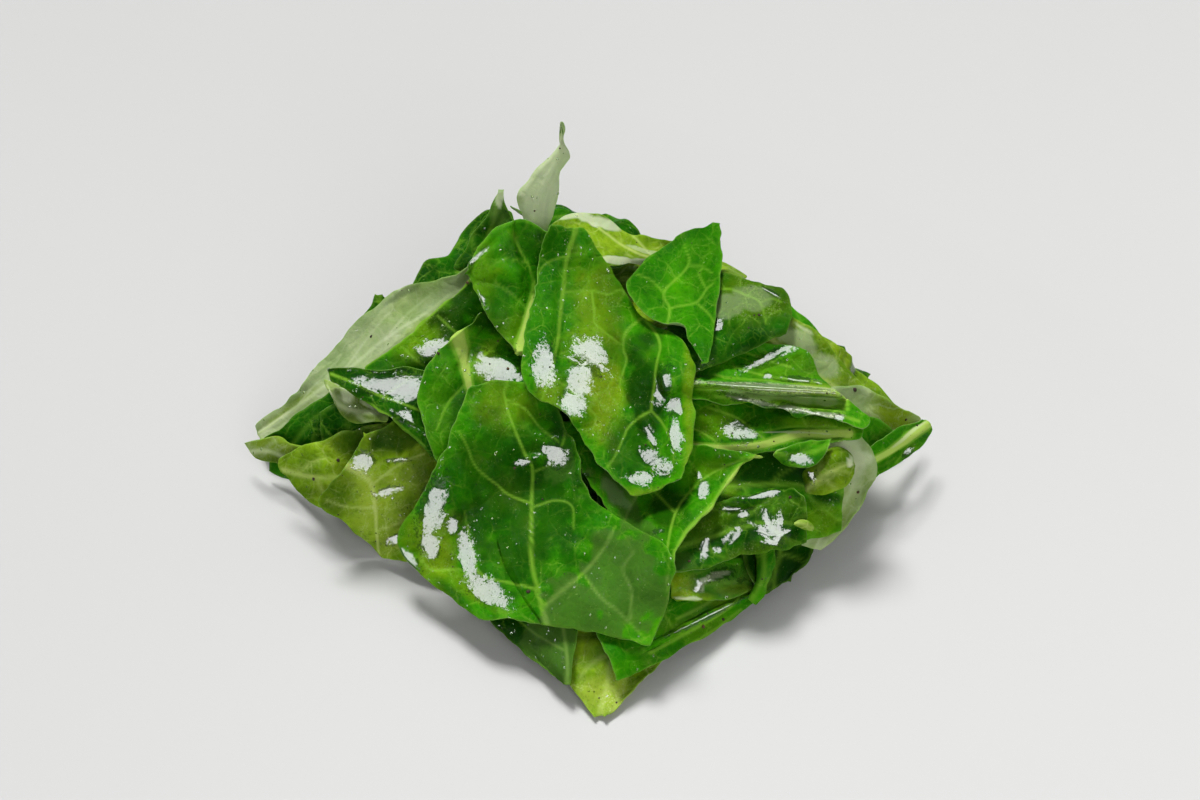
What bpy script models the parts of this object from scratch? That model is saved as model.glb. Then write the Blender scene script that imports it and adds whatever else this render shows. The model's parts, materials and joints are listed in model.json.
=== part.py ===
"""Collard greens: a dressed helping of cut leaf pieces, lying over each other in one low heap.

Most pieces are drawn as they are seen from one side of the heap, by two edges that run from the
piece's base to its tip, and each is then laid on what lies below it. So the pieces are listed from
the bottom of the heap to its top. Lengths are in millimetres until a mesh is made.
"""
import math
import random
from dataclasses import dataclass

import bmesh
import bpy
import numpy as np

MM = 0.001

# Driving dimensions of the heap
CROWN = (-2.0, 14.0)        # place on the table that the heap's top is over
HEAP_HEIGHT = 22.0          # of the crumpled inner pieces, which the outer ones lie on
REACH_SIDE = 78.0           # from the crown to the left and right corners
REACH_FRONT = 97.0
REACH_BACK = 60.0
CORNERS = 1.35              # 1 is a diamond seen from above, 2 an ellipse
BLADE = 0.8                 # thickness of a leaf
RIB = 2.6                   # thickness of a rib at its cut end
GAP = 0.45                  # clear space between a piece and what lies below it
STEEP = 1.5                 # most that a piece falls away for each millimetre of its drawing

# Where the drawings are seen from, as azimuth and elevation in degrees
EYE_DISTANCE = 687.0
EYE_LEVEL = 20.0            # height of the point that every drawing is centred on
FRONT = (0.0, 44.0)
BACK = (180.0, 50.0)
BACK_RIGHT = (135.0, 35.0)
BACK_LEFT = (225.0, 35.0)
RIGHT = (75.0, 30.0)
LEFT = (285.0, 30.0)

# Each finish is a base colour and a roughness
FINISHES = {
    "leaf_deep": ((0.012, 0.085, 0.008), 0.30),
    "leaf_bright": ((0.040, 0.200, 0.010), 0.28),
    "leaf_olive": ((0.105, 0.190, 0.012), 0.32),
    "leaf_pale": ((0.330, 0.400, 0.200), 0.55),
}


@dataclass
class Piece:
    """One drawn leaf piece, and how it lies."""
    name: str
    finish: str
    left: list
    right: list
    sight: tuple = FRONT
    limp: float = 0.8             # 1 follows what lies below, 0 stays flat
    tilt: tuple = None            # its slopes to the right and to the top, if it doesn't just lie
    lifts: tuple = (0, 0, 0, 0)   # rise of its left, right, base and tip edges
    crown: float = 0.0            # rise of its middle
    ripple: float = 0.6           # height of its waves
    bows: tuple = (0, 0)          # how far its base and tip edges bulge out
    rib: tuple = None             # shares across, at the base and the tip, where a rib runs
    cells: tuple = (5, 6)         # quads across and along


class Sight:
    """One side that the heap is drawn from, with the depth of its surface on each line of sight."""
    SPAN = 150.0
    CELL = 0.75

    def __init__(self, azimuth, elevation):
        turn, rise = math.radians(azimuth), math.radians(elevation)
        level = math.cos(rise)
        back = np.array([math.sin(turn) * level, -math.cos(turn) * level, math.sin(rise)])
        self.ahead = -back
        self.right = np.array([math.cos(turn), math.sin(turn), 0.0])
        self.up = np.cross(self.right, self.ahead)
        self.eye = np.array([0.0, 0.0, EYE_LEVEL]) + back * EYE_DISTANCE
        self.count = int(2 * self.SPAN / self.CELL) + 1
        steps = np.linspace(-self.SPAN, self.SPAN, self.count)
        fall = self.rays(np.stack(np.meshgrid(steps, steps, indexing="ij"), -1))[..., 2]
        self.near = self.eye[2] / np.maximum(-fall, 0.05)

    def rays(self, flat):
        """Directions through drawn points, one unit long straight ahead."""
        sideways = self.right * flat[..., :1] + self.up * flat[..., 1:]
        return self.ahead + sideways / EYE_DISTANCE

    def place(self, flat, depth):
        return self.eye + self.rays(flat) * depth[..., None]

    def drawn(self, points):
        away = points - self.eye
        depth = away @ self.ahead
        flat = np.stack([away @ self.right, away @ self.up], -1)
        return flat / depth[..., None] * EYE_DISTANCE, depth

    def cells(self, flat):
        index = np.rint((flat + self.SPAN) / self.CELL).astype(int)
        index = np.clip(index, 1, self.count - 2)
        return index[..., 0], index[..., 1]

    def stamp(self, points):
        flat, depth = self.drawn(points)
        np.minimum.at(self.near, self.cells(flat), depth)

    def nearest(self, flat):
        """Depth of the nearest thing in each point's cell and the eight cells round it."""
        i, j = self.cells(flat)
        around = [self.near[i + a, j + b] for a in (-1, 0, 1) for b in (-1, 0, 1)]
        return np.min(around, axis=0)


def mound(x, y, scale=1.0):
    """Height of the heap's inside over places on the table, scaled about the crown's foot."""
    across = np.abs(x - CROWN[0]) / REACH_SIDE
    reach = np.where(y > CROWN[1], REACH_BACK, REACH_FRONT)
    along = np.abs(y - CROWN[1]) / reach
    out = (across ** CORNERS + along ** CORNERS) ** (1 / CORNERS) / scale
    return scale * HEAP_HEIGHT * np.maximum(0.0, 1 - out ** 1.7) ** 0.75


def mound_points():
    step = 0.6
    x = np.arange(-REACH_SIDE, REACH_SIDE, step) + CROWN[0]
    y = np.arange(-REACH_FRONT, REACH_BACK, step) + CROWN[1]
    x, y = np.meshgrid(x, y, indexing="ij")
    return np.stack([x, y, mound(x, y)], -1).reshape(-1, 3)


def rail(points, share):
    """A smooth curve through the points of a drawn edge, read at shares of the way along."""
    p = np.array(points, float)
    p = np.vstack([2 * p[0] - p[1], p, 2 * p[-1] - p[-2]])
    at = share * (len(points) - 1)
    k = np.minimum(at.astype(int), len(points) - 2)
    t = (at - k)[:, None]
    a, b, c, d = p[k], p[k + 1], p[k + 2], p[k + 3]
    bend = 2 * a - 5 * b + 4 * c - d
    return b + (c - a) * t / 2 + bend * t ** 2 / 2 + (3 * b - a - 3 * c + d) * t ** 3 / 2


def drawing(piece, across, along):
    """Drawn places of a grid on the piece, each one's shares across and along, and the rib's column."""
    base = np.linspace(0, 1, across + 1)
    tip = base.copy()
    column = None
    if piece.rib:
        column = int(np.clip(round(sum(piece.rib) / 2 * across), 1, across - 1))
        base[column], tip[column] = piece.rib
    v = np.linspace(0, 1, along + 1)
    u = base[:, None] * (1 - v) + tip[:, None] * v
    v = np.broadcast_to(v, u.shape)
    left, right = rail(piece.left, v[0]), rail(piece.right, v[0])
    flat = left * (1 - u[..., None]) + right * u[..., None]
    length = (left[-1] + right[-1] - left[0] - right[0]) / 2
    forward = length / np.linalg.norm(length)
    bulge = 4 * u * (1 - u) * (piece.bows[1] * v ** 3 - piece.bows[0] * (1 - v) ** 3)
    return flat + bulge[..., None] * forward, u, v, column


def rise(piece, u, v):
    """How far the piece stands off its bed: its crown, its lifted edges and its waves."""
    left, right, base, tip = piece.lifts
    shape = piece.crown * (1 - (2 * u - 1) ** 2) * (1 - (2 * v - 1) ** 2)
    shape = shape + left * (1 - u) ** 3 + right * u ** 3 + base * (1 - v) ** 3 + tip * v ** 3
    draw = random.Random(piece.name)
    turns = [draw.uniform(0.8, 1.3), draw.uniform(1.1, 1.7), draw.uniform(1.8, 2.6)]
    phase = [draw.uniform(0, math.tau) for _ in range(3)]
    wave = np.sin(math.tau * turns[0] * u + phase[0]) * np.cos(math.tau * turns[1] * v + phase[1])
    frill = (2 * u - 1) ** 2 * np.sin(math.tau * turns[2] * v + phase[2])
    return shape + piece.ripple * (1.6 + wave + 0.6 * frill)


def smoothed(depth):
    wide = np.pad(depth, 1, mode="edge")
    beside = wide[:-2, 1:-1] + wide[2:, 1:-1] + wide[1:-1, :-2] + wide[1:-1, 2:]
    return depth / 2 + beside / 8


def bed(piece, sight, flat):
    """Depth of the piece's grid where it lies, between flat and wholly sunk onto what is below."""
    fine = drawing(piece, 30, 36)[0].reshape(-1, 2)
    room = sight.nearest(fine) - GAP - BLADE / 2
    apart = np.linalg.norm(flat[:, :, None] - fine, axis=-1)
    sunk = (room + STEEP * apart).min(axis=-1)
    if piece.tilt:
        slope = np.array(piece.tilt)
    else:
        terms = np.column_stack([flat.reshape(-1, 2), np.ones(sunk.size)])
        slope = np.linalg.lstsq(terms, sunk.ravel(), rcond=None)[0][:2]
    level = flat @ slope + (room - fine @ slope).min()
    return smoothed(piece.limp * sunk + (1 - piece.limp) * level)


def facets(rows, columns):
    """Corner numbers of a grid's triangles, with every quad split along the same diagonal."""
    n = np.arange(rows * columns).reshape(rows, columns)
    a, b, c, d = (part.ravel() for part in (n[:-1, :-1], n[1:, :-1], n[1:, 1:], n[:-1, 1:]))
    return np.concatenate([np.column_stack([a, b, c]), np.column_stack([a, c, d])])


def normals(points, triangles, towards):
    sides = points[triangles[:, 1:]] - points[triangles[:, :1]]
    cross = np.cross(sides[:, 0], sides[:, 1])
    total = np.zeros_like(points)
    for k in range(3):
        np.add.at(total, triangles[:, k], cross)
    total /= np.linalg.norm(total, axis=1, keepdims=True)
    return total * np.sign(cross.sum(axis=0) @ towards)


SAMPLES = 10
SHARES = np.array([(i, j, SAMPLES - i - j) for i in range(SAMPLES + 1)
                   for j in range(SAMPLES + 1 - i)]) / SAMPLES


def spread(points, triangles):
    """Evenly spread points on each triangle."""
    return np.einsum("sk,tkx->tsx", SHARES, points[triangles])


@dataclass
class Blade:
    """A piece in its place: a grid of points in the middle of the leaf, and how thick it is there."""
    name: str
    finish: str
    cells: tuple
    points: np.ndarray
    thick: np.ndarray
    normal: np.ndarray

    def face(self, side):
        return self.points + self.normal * (self.thick * side / 2)[:, None]

    def triangles(self):
        return facets(self.cells[0] + 1, self.cells[1] + 1)


def laid(piece, sights):
    """The piece pushed towards the eye until all of it is clear of what lies below."""
    sight = sights[piece.sight]
    flat, u, v, column = drawing(piece, *piece.cells)
    depth = bed(piece, sight, flat) - rise(piece, u, v)
    thick = np.full(u.shape, BLADE)
    if column is not None:
        thick[column] += (RIB - BLADE) * (1 - v[column]) ** 0.8
    triangles = facets(*u.shape)
    for _ in range(60):
        points = sight.place(flat, depth).reshape(-1, 3)
        normal = normals(points, triangles, -sight.ahead)
        blade = Blade(piece.name, piece.finish, piece.cells, points, thick.ravel(), normal)
        excess = np.zeros(len(triangles))
        for side in (-1, 1):
            seen, far = sight.drawn(spread(blade.face(side), triangles))
            excess = np.maximum(excess, (far - sight.nearest(seen) + GAP).max(axis=1))
        if excess.max() < 0.02:
            return blade
        push = np.zeros(len(points))
        for k in range(3):
            np.maximum.at(push, triangles[:, k], excess)
        depth = depth - push.reshape(depth.shape)
    raise ValueError(f"{piece.name} finds no place")


def stamp(blade, sights):
    for side in (-1, 1):
        surface = spread(blade.face(side), blade.triangles()).reshape(-1, 3)
        for sight in sights.values():
            sight.stamp(surface)


FRONT_PIECES = [
    # Behind the crown
    Piece("back_leaf", "leaf_olive",
          [(-14, 44.5), (-8, 48), (0, 47.6), (8, 44.2), (16, 41.8), (25, 42)],
          [(-14, 33), (-8, 32), (-2, 33), (4, 35.5), (12, 35.5), (25, 33)], lifts=(2, 0, 0, 0)),
    Piece("back_left_leaf", "leaf_deep",
          [(-50, 29), (-46, 36), (-40, 38), (-36, 44), (-30, 50), (-24, 50)],
          [(-44, 18), (-38, 20), (-32, 22), (-26, 26), (-22, 30), (-18, 35)], lifts=(4, 0, 0, 0)),
    Piece("back_tip_leaf", "leaf_deep",
          [(-39, 34), (-34.5, 42), (-29.5, 48), (-27, 55)],
          [(-14, 30), (-18, 40), (-23, 48), (-26, 55)], limp=0.3, tilt=(0, -0.3), ripple=0.3),
    Piece("back_left_tip_leaf", "leaf_deep",
          [(-68, 4), (-64, 16), (-60, 23), (-58.5, 27.5)],
          [(-42, 8), (-47, 18), (-52, 23), (-56, 27)], limp=0.6, ripple=0.3),
    Piece("upright_leaf", "leaf_pale",
          [(-20, 36), (-20.5, 46), (-22, 53), (-18.5, 58.5), (-14, 64), (-11.4, 68.5), (-10.3, 73)],
          [(-8, 36), (-13.5, 43), (-12.3, 50), (-10.5, 58), (-7.8, 64.5), (-8.8, 68.5), (-9.6, 73)],
          limp=0.0, tilt=(0.1, -0.25), ripple=0.3, crown=1.5),
    # Along the left side
    Piece("left_pale_leaf", "leaf_pale",
          [(-91, -7), (-80, 2), (-72, 12), (-62, 22), (-52, 29), (-40, 32), (-33, 36), (-27, 43)],
          [(-87, -14), (-76, -9), (-66, -4), (-56, 3), (-48, 8), (-40, 14), (-32, 22), (-24, 32)],
          lifts=(3, 0, 0, 0), cells=(4, 9)),
    Piece("left_inner_leaf", "leaf_deep",
          [(-88, -10), (-78, -3), (-68, 3), (-57, 5)],
          [(-86, -18), (-76, -22), (-66, -19), (-55, -10)], lifts=(1, 0, 0, 0)),
    Piece("left_end_leaf", "leaf_pale",
          [(-93.5, -11.5), (-86, -9.5), (-79, -12), (-70, -14)],
          [(-90, -15), (-84, -17), (-78, -23), (-68, -26)]),
    # Along the right side
    Piece("right_rim_leaf", "leaf_olive",
          [(43, 25), (49, 22.5), (54, 19), (60, 13.5), (65, 8), (70, 1)],
          [(32, 18), (38, 12), (44, 6), (51, 1), (58, -3), (65, -8)], lifts=(1, 0, 0, 0)),
    Piece("right_grey_leaf", "leaf_pale",
          [(60, 3), (69, 3), (76, -1), (83.5, -5)],
          [(58, -10), (66, -13), (74, -14), (82, -12)]),
    Piece("right_end_under_leaf", "leaf_bright",
          [(58, -9), (63, -5), (69, -4), (77, -7)],
          [(58, -24), (66, -24), (72, -20), (80, -14)]),
    Piece("right_end_leaf", "leaf_bright",
          [(87.3, -7.6), (83.2, -12.6), (77.5, -17.2), (70, -21.5), (60, -27)],
          [(84.2, -5), (78, -7.6), (72, -11), (66, -14), (58, -15)], rib=(0.5, 0.62), bows=(0.4, 0)),
    # The low front
    Piece("front_tip_leaf", "leaf_olive",
          [(-14, -46), (-13, -60), (-9, -73), (-1.5, -83)],
          [(22, -46), (22, -59), (13, -73), (2, -83)]),
    Piece("front_low_leaf", "leaf_deep",
          [(-38, -36), (-34, -47), (-29, -57), (-20, -66), (-10, -74.5)],
          [(-4, -36), (-5, -48), (-6, -58), (-7, -68), (-7.5, -74.5)]),
    Piece("right_low_leaf", "leaf_bright",
          [(-2, -58), (8, -50), (19, -44), (30, -41), (39, -39)],
          [(4, -74), (14, -69.5), (24, -64), (33, -58.5), (41, -52.5)], ripple=0.9),
    Piece("right_film_leaf", "leaf_bright",
          [(18, -46), (26, -42.5), (34, -41.5), (41, -42)],
          [(19, -53), (26, -53), (34, -52), (40.5, -49.5)], ripple=0.4, cells=(4, 5)),
    Piece("right_deep_leaf", "leaf_deep",
          [(36, -33), (37.5, -40), (39, -46), (43, -51.5)],
          [(55, -33), (56, -38), (54, -43), (49, -47.5)], ripple=0.4),
    Piece("right_curl_leaf", "leaf_bright",
          [(40, -37), (41, -42), (41, -47), (38.5, -52.5)],
          [(45, -37), (45.5, -42), (44.5, -47.5), (40.5, -54)], crown=2.0, ripple=0.2, cells=(3, 5)),
    Piece("left_under_leaf", "leaf_deep",
          [(-73, -3), (-64, 2), (-55, 2)],
          [(-72, -24), (-62, -27), (-53, -20)]),
    Piece("left_yellow_leaf", "leaf_olive",
          [(-83.5, -14.5), (-73, -11), (-63, -7), (-52, -6)],
          [(-82, -20), (-74, -27.5), (-64, -32), (-54, -28)], bows=(1, 0)),
    Piece("left_front_leaf", "leaf_olive",
          [(-57, -41), (-66, -33), (-74, -26), (-67, -18), (-61, -9)],
          [(-43, -43), (-40, -30), (-36, -18), (-40, -8), (-49, -2)], lifts=(1, 0, 0, 1)),
    # The low right
    Piece("right_clear_leaf", "leaf_pale",
          [(56, -8), (55, -20), (54, -30), (53, -38)],
          [(68, -9), (72.5, -17), (69.5, -26), (58.5, -40)], lifts=(0, 2, 0, 0), ripple=0.9),
    Piece("right_under_leaf", "leaf_bright",
          [(27, -8), (40, -9), (52, -11), (64.5, -17)],
          [(29, -35), (40, -36), (52, -37), (63, -34.5)], ripple=1.0),
    Piece("right_rolled_leaf", "leaf_olive",
          [(53.5, -20), (57, -15.6), (62, -13), (66.5, -14.6)],
          [(54.5, -25), (58.5, -24.8), (63, -22.8), (67, -18.3)], crown=3.0, ripple=0.2, cells=(4, 5)),
    Piece("right_dark_leaf", "leaf_deep",
          [(17, -33), (24, -29), (31, -27), (38.5, -25), (46, -23.3), (54, -25)],
          [(15, -46), (22, -45.7), (30, -43.2), (38.5, -40.5), (47, -39), (54.5, -37.3)], ripple=1.3,
          cells=(5, 8)),
    # The middle of the heap
    Piece("left_rim_leaf", "leaf_bright",
          [(-62, 8.5), (-52, 15.5), (-42, 24.5), (-34, 31.5), (-27, 42)],
          [(-56, 2), (-46, 3), (-37, 9), (-28, 19), (-20, 31)], lifts=(3, 0, 0, 0)),
    Piece("left_curl_leaf", "leaf_pale",
          [(-72, 6), (-68, 3.5), (-62, 2), (-55, 1)],
          [(-70, -0.5), (-66.5, -4.5), (-62, -6), (-56, -5.5)], crown=1.5, ripple=0.4, cells=(4, 5)),
    Piece("left_folded_leaf", "leaf_deep",
          [(-71.5, 8.3), (-60, 7.5), (-48, 8), (-37, 4)],
          [(-70.5, 5), (-61, -0.5), (-52, -7), (-41, -18.5)], lifts=(2, 0, 0, 0), ripple=0.9, cells=(5, 7)),
    Piece("left_stem_leaf", "leaf_bright",
          [(-31, 23), (-39, 17), (-46, 8), (-47, -6), (-41, -20)],
          [(-21, 17.5), (-16, 13), (-12, 6), (-11, -4), (-13, -16)], rib=(0.15, 0.5),
          lifts=(1, 0, 2, 0)),
    Piece("ribbed_lower_leaf", "leaf_bright",
          [(68, -10.5), (55, -11.5), (42, -14), (27, -15), (14, -14.5)],
          [(69, -6), (58, -2), (43, 1), (28, 2), (14, 3)], rib=(0.4, 0.12), bows=(1, 0)),
    Piece("ribbed_upper_leaf", "leaf_bright",
          [(69, -7.5), (60, -5), (48, -3), (35, -0.5), (18, 1)],
          [(70.5, -4.5), (64, 0.6), (57.5, 6.5), (51.5, 13.5), (36, 15), (18, 12)],
          rib=(0.5, 0.25), bows=(1, 0), lifts=(3, 0, 0, 0), cells=(5, 7)),
    Piece("right_back_leaf", "leaf_deep",
          [(18, 29), (26, 32), (34, 32.3), (41, 31.2), (47.5, 29.4)],
          [(18, 3), (26, 7.5), (33, 10.5), (41, 14), (48, 17.4)],
          crown=3.5, lifts=(0, 0, 0, 0.5), bows=(0, 2.5)),
    Piece("centre_low_leaf", "leaf_bright",
          [(-11, -6), (-8, -14), (0, -26), (8, -37), (14.5, -45)],
          [(43, -14.8), (38, -17), (31, -26), (23, -35), (18, -45.5)], lifts=(0, 2.5, 0, 0),
          cells=(5, 7)),
    Piece("front_leaf", "leaf_bright",
          [(-31, -58), (-47, -46), (-53, -38), (-50, -30), (-43, -18), (-38, -6), (-35, 3)],
          [(13, -65), (18, -52), (19, -41), (8, -33), (-2, -26), (-6, -14), (-13, 3)],
          rib=(0.38, 0.5), lifts=(2, 1, 0, 0), bows=(-2, 2), crown=1.5, cells=(8, 9)),
    Piece("stem_leaf", "leaf_bright",
          [(-22.5, 12.5), (-28.5, 20.5), (-32.8, 28.5), (-35.2, 33.5)],
          [(-17, 7), (-12, 18), (-10, 30), (-12.5, 43.5)],
          rib=(0.3, 0.6), lifts=(2, 0, 0, 1.5), bows=(0, 8)),
    Piece("crown_leaf", "leaf_bright",
          [(-14, 46), (-17.5, 32), (-19.5, 16), (-19, 3), (-8.5, -4.5), (-1.5, -16), (8.5, -25.5)],
          [(-4.5, 45), (3, 34), (11, 22.5), (23.5, 13), (24.5, 0), (24.2, -11), (21, -22.5)],
          lifts=(2, 1.5, 0, 1.5), crown=2.5, cells=(8, 10)),
    Piece("veined_leaf", "leaf_bright",
          [(29, 46.5), (22, 43.5), (13, 37), (7.5, 31), (8, 26.5), (14.5, 20.8), (21.5, 18), (26, 10)],
          [(31, 46), (32, 40), (31.6, 34), (31.3, 28), (30.7, 23), (30, 18.5), (29, 14), (27.8, 9)],
          limp=0.85, lifts=(1, 0, 1, 2), cells=(6, 9)),
]


# Outlines of cut pieces, one unit tall, as left and right edges from base to tip
CUTS = [
    # A rounded side and a straight cut across the base
    ([(-0.42, -0.46), (-0.55, -0.12), (-0.46, 0.26), (-0.16, 0.50)],
     [(0.46, -0.50), (0.50, -0.10), (0.40, 0.22), (0.14, 0.54)]),
    # A wedge from beside the stem
    ([(-0.14, -0.54), (-0.38, -0.20), (-0.48, 0.16), (-0.40, 0.44)],
     [(0.10, -0.52), (0.34, -0.24), (0.52, 0.10), (0.44, 0.50)]),
    # A long strip, cut at both ends
    ([(-0.30, -0.56), (-0.36, -0.18), (-0.30, 0.20), (-0.36, 0.52)],
     [(0.28, -0.48), (0.36, -0.14), (0.34, 0.22), (0.22, 0.60)]),
    # A pointed corner of a blade
    ([(-0.44, -0.50), (-0.36, -0.16), (-0.22, 0.20), (-0.03, 0.62)],
     [(0.52, -0.42), (0.50, -0.10), (0.30, 0.26), (0.03, 0.60)]),
]


def side_piece(name, finish, sight, middle, turn, height):
    """A piece on a side that the front drawing doesn't show."""
    draw = random.Random(name)
    turn = math.radians(turn)
    along = np.array([math.sin(turn), math.cos(turn)])
    across = np.array([along[1], -along[0]])
    edges = []
    for edge in draw.choice(CUTS):
        loose = [(x + draw.uniform(-0.05, 0.05), y + draw.uniform(-0.04, 0.04)) for x, y in edge]
        edges.append([np.array(middle) + height * (x * across + y * along) for x, y in loose])
    lifts = tuple(draw.uniform(0, 2.6) for _ in range(4))
    return Piece(name, finish, edges[0], edges[1], sight, lifts=lifts, crown=draw.uniform(0, 2.5),
                 ripple=draw.uniform(0.7, 1.5), bows=(draw.uniform(-1, 1), draw.uniform(0, 3)))


def side_pieces():
    """Pieces round the back and sides, the low ones first, each with its place, turn and height."""
    rows = [
        ("back_right", BACK_RIGHT, [(-29, -32, 10, 40), (2, -34, -35, 48), (34, -30, 10, 44),
                                    (-18, -18, 110, 36), (18, -12, -20, 44)]),
        ("back_left", BACK_LEFT, [(-32, -30, -15, 44), (0, -33, 40, 48), (31, -29, -30, 44),
                                  (-18, -13, 15, 44), (14, -13, -65, 46)]),
        ("right", RIGHT, [(16, -30, 15, 40), (-8, -31, -60, 42)]),
        ("left", LEFT, [(-14, -30, -20, 40), (10, -31, 55, 42)]),
        ("back_corner", BACK, [(4, -33, 150, 38)]),
    ]
    finishes = ("leaf_deep", "leaf_bright", "leaf_olive", "leaf_bright", "leaf_deep", "leaf_pale")
    pieces = []
    for place, sight, spots in rows:
        for k, (x, y, turn, height) in enumerate(spots):
            finish = finishes[len(pieces) * 5 % len(finishes)]
            pieces.append(side_piece(f"{place}_piece_{k + 1}", finish, sight, (x, y), turn, height))
    return pieces


def patch(corners, cells):
    """Places on the table of a grid between four corners, which go round it."""
    s = np.linspace(0, 1, cells[0] + 1)[:, None, None]
    t = np.linspace(0, 1, cells[1] + 1)[None, :, None]
    a, b, c, d = (np.array(corner, float) for corner in corners)
    return (1 - s) * (1 - t) * a + s * (1 - t) * b + s * t * c + (1 - s) * t * d


def table_blade(name, finish, plan, height):
    """A blade given by its heights over places on the table."""
    cells = (plan.shape[0] - 1, plan.shape[1] - 1)
    points = np.dstack([plan, height]).reshape(-1, 3)
    normal = normals(points, facets(*plan.shape[:2]), np.array([0.0, 0.0, 1.0]))
    return Blade(name, finish, cells, points, np.full(len(points), BLADE), normal)


def bottom_blade():
    """The piece that the heap's weight presses flat on the table, which the heap rests on."""
    piece = Piece("bottom_leaf", "leaf_deep", [(-14, -46), (-34, -30), (-46, -4), (-40, 20), (-20, 40)],
                  [(12, -48), (32, -34), (46, -6), (36, 22), (10, 42)], bows=(4, 3))
    plan = drawing(piece, 6, 6)[0]
    return table_blade(piece.name, piece.finish, plan, np.full(plan.shape[:2], BLADE / 2))


LAYER_STEP = 3.0            # how much higher the rims of the outer layers end


def inner_blades():
    """Crumpled pieces inside the heap, in layers of its own shape."""
    layers = [
        (0.60, [(-1, -1, 1, 1)]),
        (0.78, [(-1, -1, 1, -0.02), (-1, 0.02, 1, 1)]),
        (0.94, [(-1, -1, -0.02, -0.02), (0.02, -1, 1, -0.02), (0.02, 0.02, 1, 1), (-1, 0.02, -0.02, 1)]),
    ]
    blades = []
    for scale, parts in layers:
        for left, front, right, back in parts:
            name = f"inner_leaf_{len(blades) + 1}"
            square = patch([(left, front), (right, front), (right, back), (left, back)], (6, 6))
            blades.append(inner_blade(name, scale, square))
    return blades


def inner_blade(name, scale, square):
    """One patch of a layer. The square of shares is drawn in to the layer's own rounded corners."""
    reach = np.where(square[..., 1] > 0, REACH_BACK, REACH_FRONT)
    largest = np.abs(square).max(axis=-1)
    norm = (np.abs(square) ** CORNERS).sum(axis=-1) ** (1 / CORNERS)
    share = scale * 0.9 * np.divide(largest, norm, out=np.zeros_like(norm), where=norm > 0)
    x = CROWN[0] + square[..., 0] * share * REACH_SIDE
    y = CROWN[1] + square[..., 1] * share * reach
    draw = random.Random(name)
    phase = draw.uniform(0, math.tau)
    dent = 0.05 * (1 + np.sin(x / 6 + phase) * np.cos(y / 7))
    height = mound(x, y, scale) * (1 - dent) - BLADE
    lowest = BLADE * 1.5 + 2 * GAP + LAYER_STEP * (scale - 0.4)
    return table_blade(name, "leaf_deep", np.stack([x, y], -1), np.maximum(height, lowest))


def material(finish):
    found = bpy.data.materials.get(finish)
    if found:
        return found
    colour, roughness = FINISHES[finish]
    made = bpy.data.materials.new(finish)
    made.use_nodes = True
    shader = made.node_tree.nodes["Principled BSDF"]
    shader.inputs["Base Color"].default_value = (*colour, 1.0)
    shader.inputs["Roughness"].default_value = roughness
    return made


def blade_mesh(blade):
    """The middle of the leaf as an open mesh, in metres."""
    across, along = blade.cells
    work = bmesh.new()
    bmesh.ops.create_grid(work, x_segments=across, y_segments=along, size=1)
    for vert in work.verts:
        i = round((vert.co.x + 1) / 2 * across)
        j = round((vert.co.y + 1) / 2 * along)
        vert.index = i * (along + 1) + j
        vert.co = blade.points[vert.index] * MM
    work.verts.sort()
    bmesh.ops.triangulate(work, faces=work.faces[:], quad_method="FIXED")
    work.normal_update()
    facing = sum(face.normal.dot(blade.normal[face.verts[0].index]) for face in work.faces)
    if facing < 0:
        bmesh.ops.reverse_faces(work, faces=work.faces[:])
    mesh = bpy.data.meshes.new(blade.name)
    work.to_mesh(mesh)
    work.free()
    return mesh


def add_object(blade, collection):
    """The blade as an object, thickened both ways, and more so along its rib."""
    made = bpy.data.objects.new(blade.name, blade_mesh(blade))
    collection.objects.link(made)
    made.data.materials.append(material(blade.finish))
    made.data.shade_smooth()
    solidify = made.modifiers.new("blade", "SOLIDIFY")
    solidify.offset = 0.0
    solidify.thickness = blade.thick.max() * MM
    if blade.thick.max() > BLADE:
        rib = made.vertex_groups.new(name="rib")
        for k, extra in enumerate((blade.thick - BLADE) / (RIB - BLADE)):
            rib.add([k], float(extra), "REPLACE")
        solidify.vertex_group = rib.name
        solidify.thickness_vertex_group = BLADE / RIB


def heap():
    """Every blade of the heap in its place, from the bottom up."""
    pieces = side_pieces() + FRONT_PIECES
    sights = {piece.sight: Sight(*piece.sight) for piece in pieces}
    blades = [bottom_blade()]
    stamp(blades[0], sights)
    for sight in sights.values():
        sight.stamp(mound_points())
    blades += inner_blades()
    for piece in pieces:
        blades.append(laid(piece, sights))
        stamp(blades[-1], sights)
    return blades


def centre(blades):
    """Moves the heap so that it stands on the table, centred on the origin."""
    faces = np.concatenate([blade.face(side) for blade in blades for side in (-1, 1)])
    low, high = faces.min(axis=0), faces.max(axis=0)
    shift = np.array([*(low + high)[:2] / 2, low[2]])
    for blade in blades:
        blade.points = blade.points - shift


def main():
    for existing in list(bpy.data.objects):
        bpy.data.objects.remove(existing)
    collection = bpy.data.collections.new("collard_greens")
    bpy.context.scene.collection.children.link(collection)
    blades = heap()
    centre(blades)
    for blade in blades:
        add_object(blade, collection)


main()
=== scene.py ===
"""Looks of a dressed helping of collard greens: fine wet leaves in place of the solid ones.

Each leaf is drawn as its solid is, from one side of the heap, and is laid at the same depths. It then
gets its veins, its waves and its real thickness. Lengths are in millimetres until a mesh is made.
"""

import json
import math
import random
from dataclasses import dataclass

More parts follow.
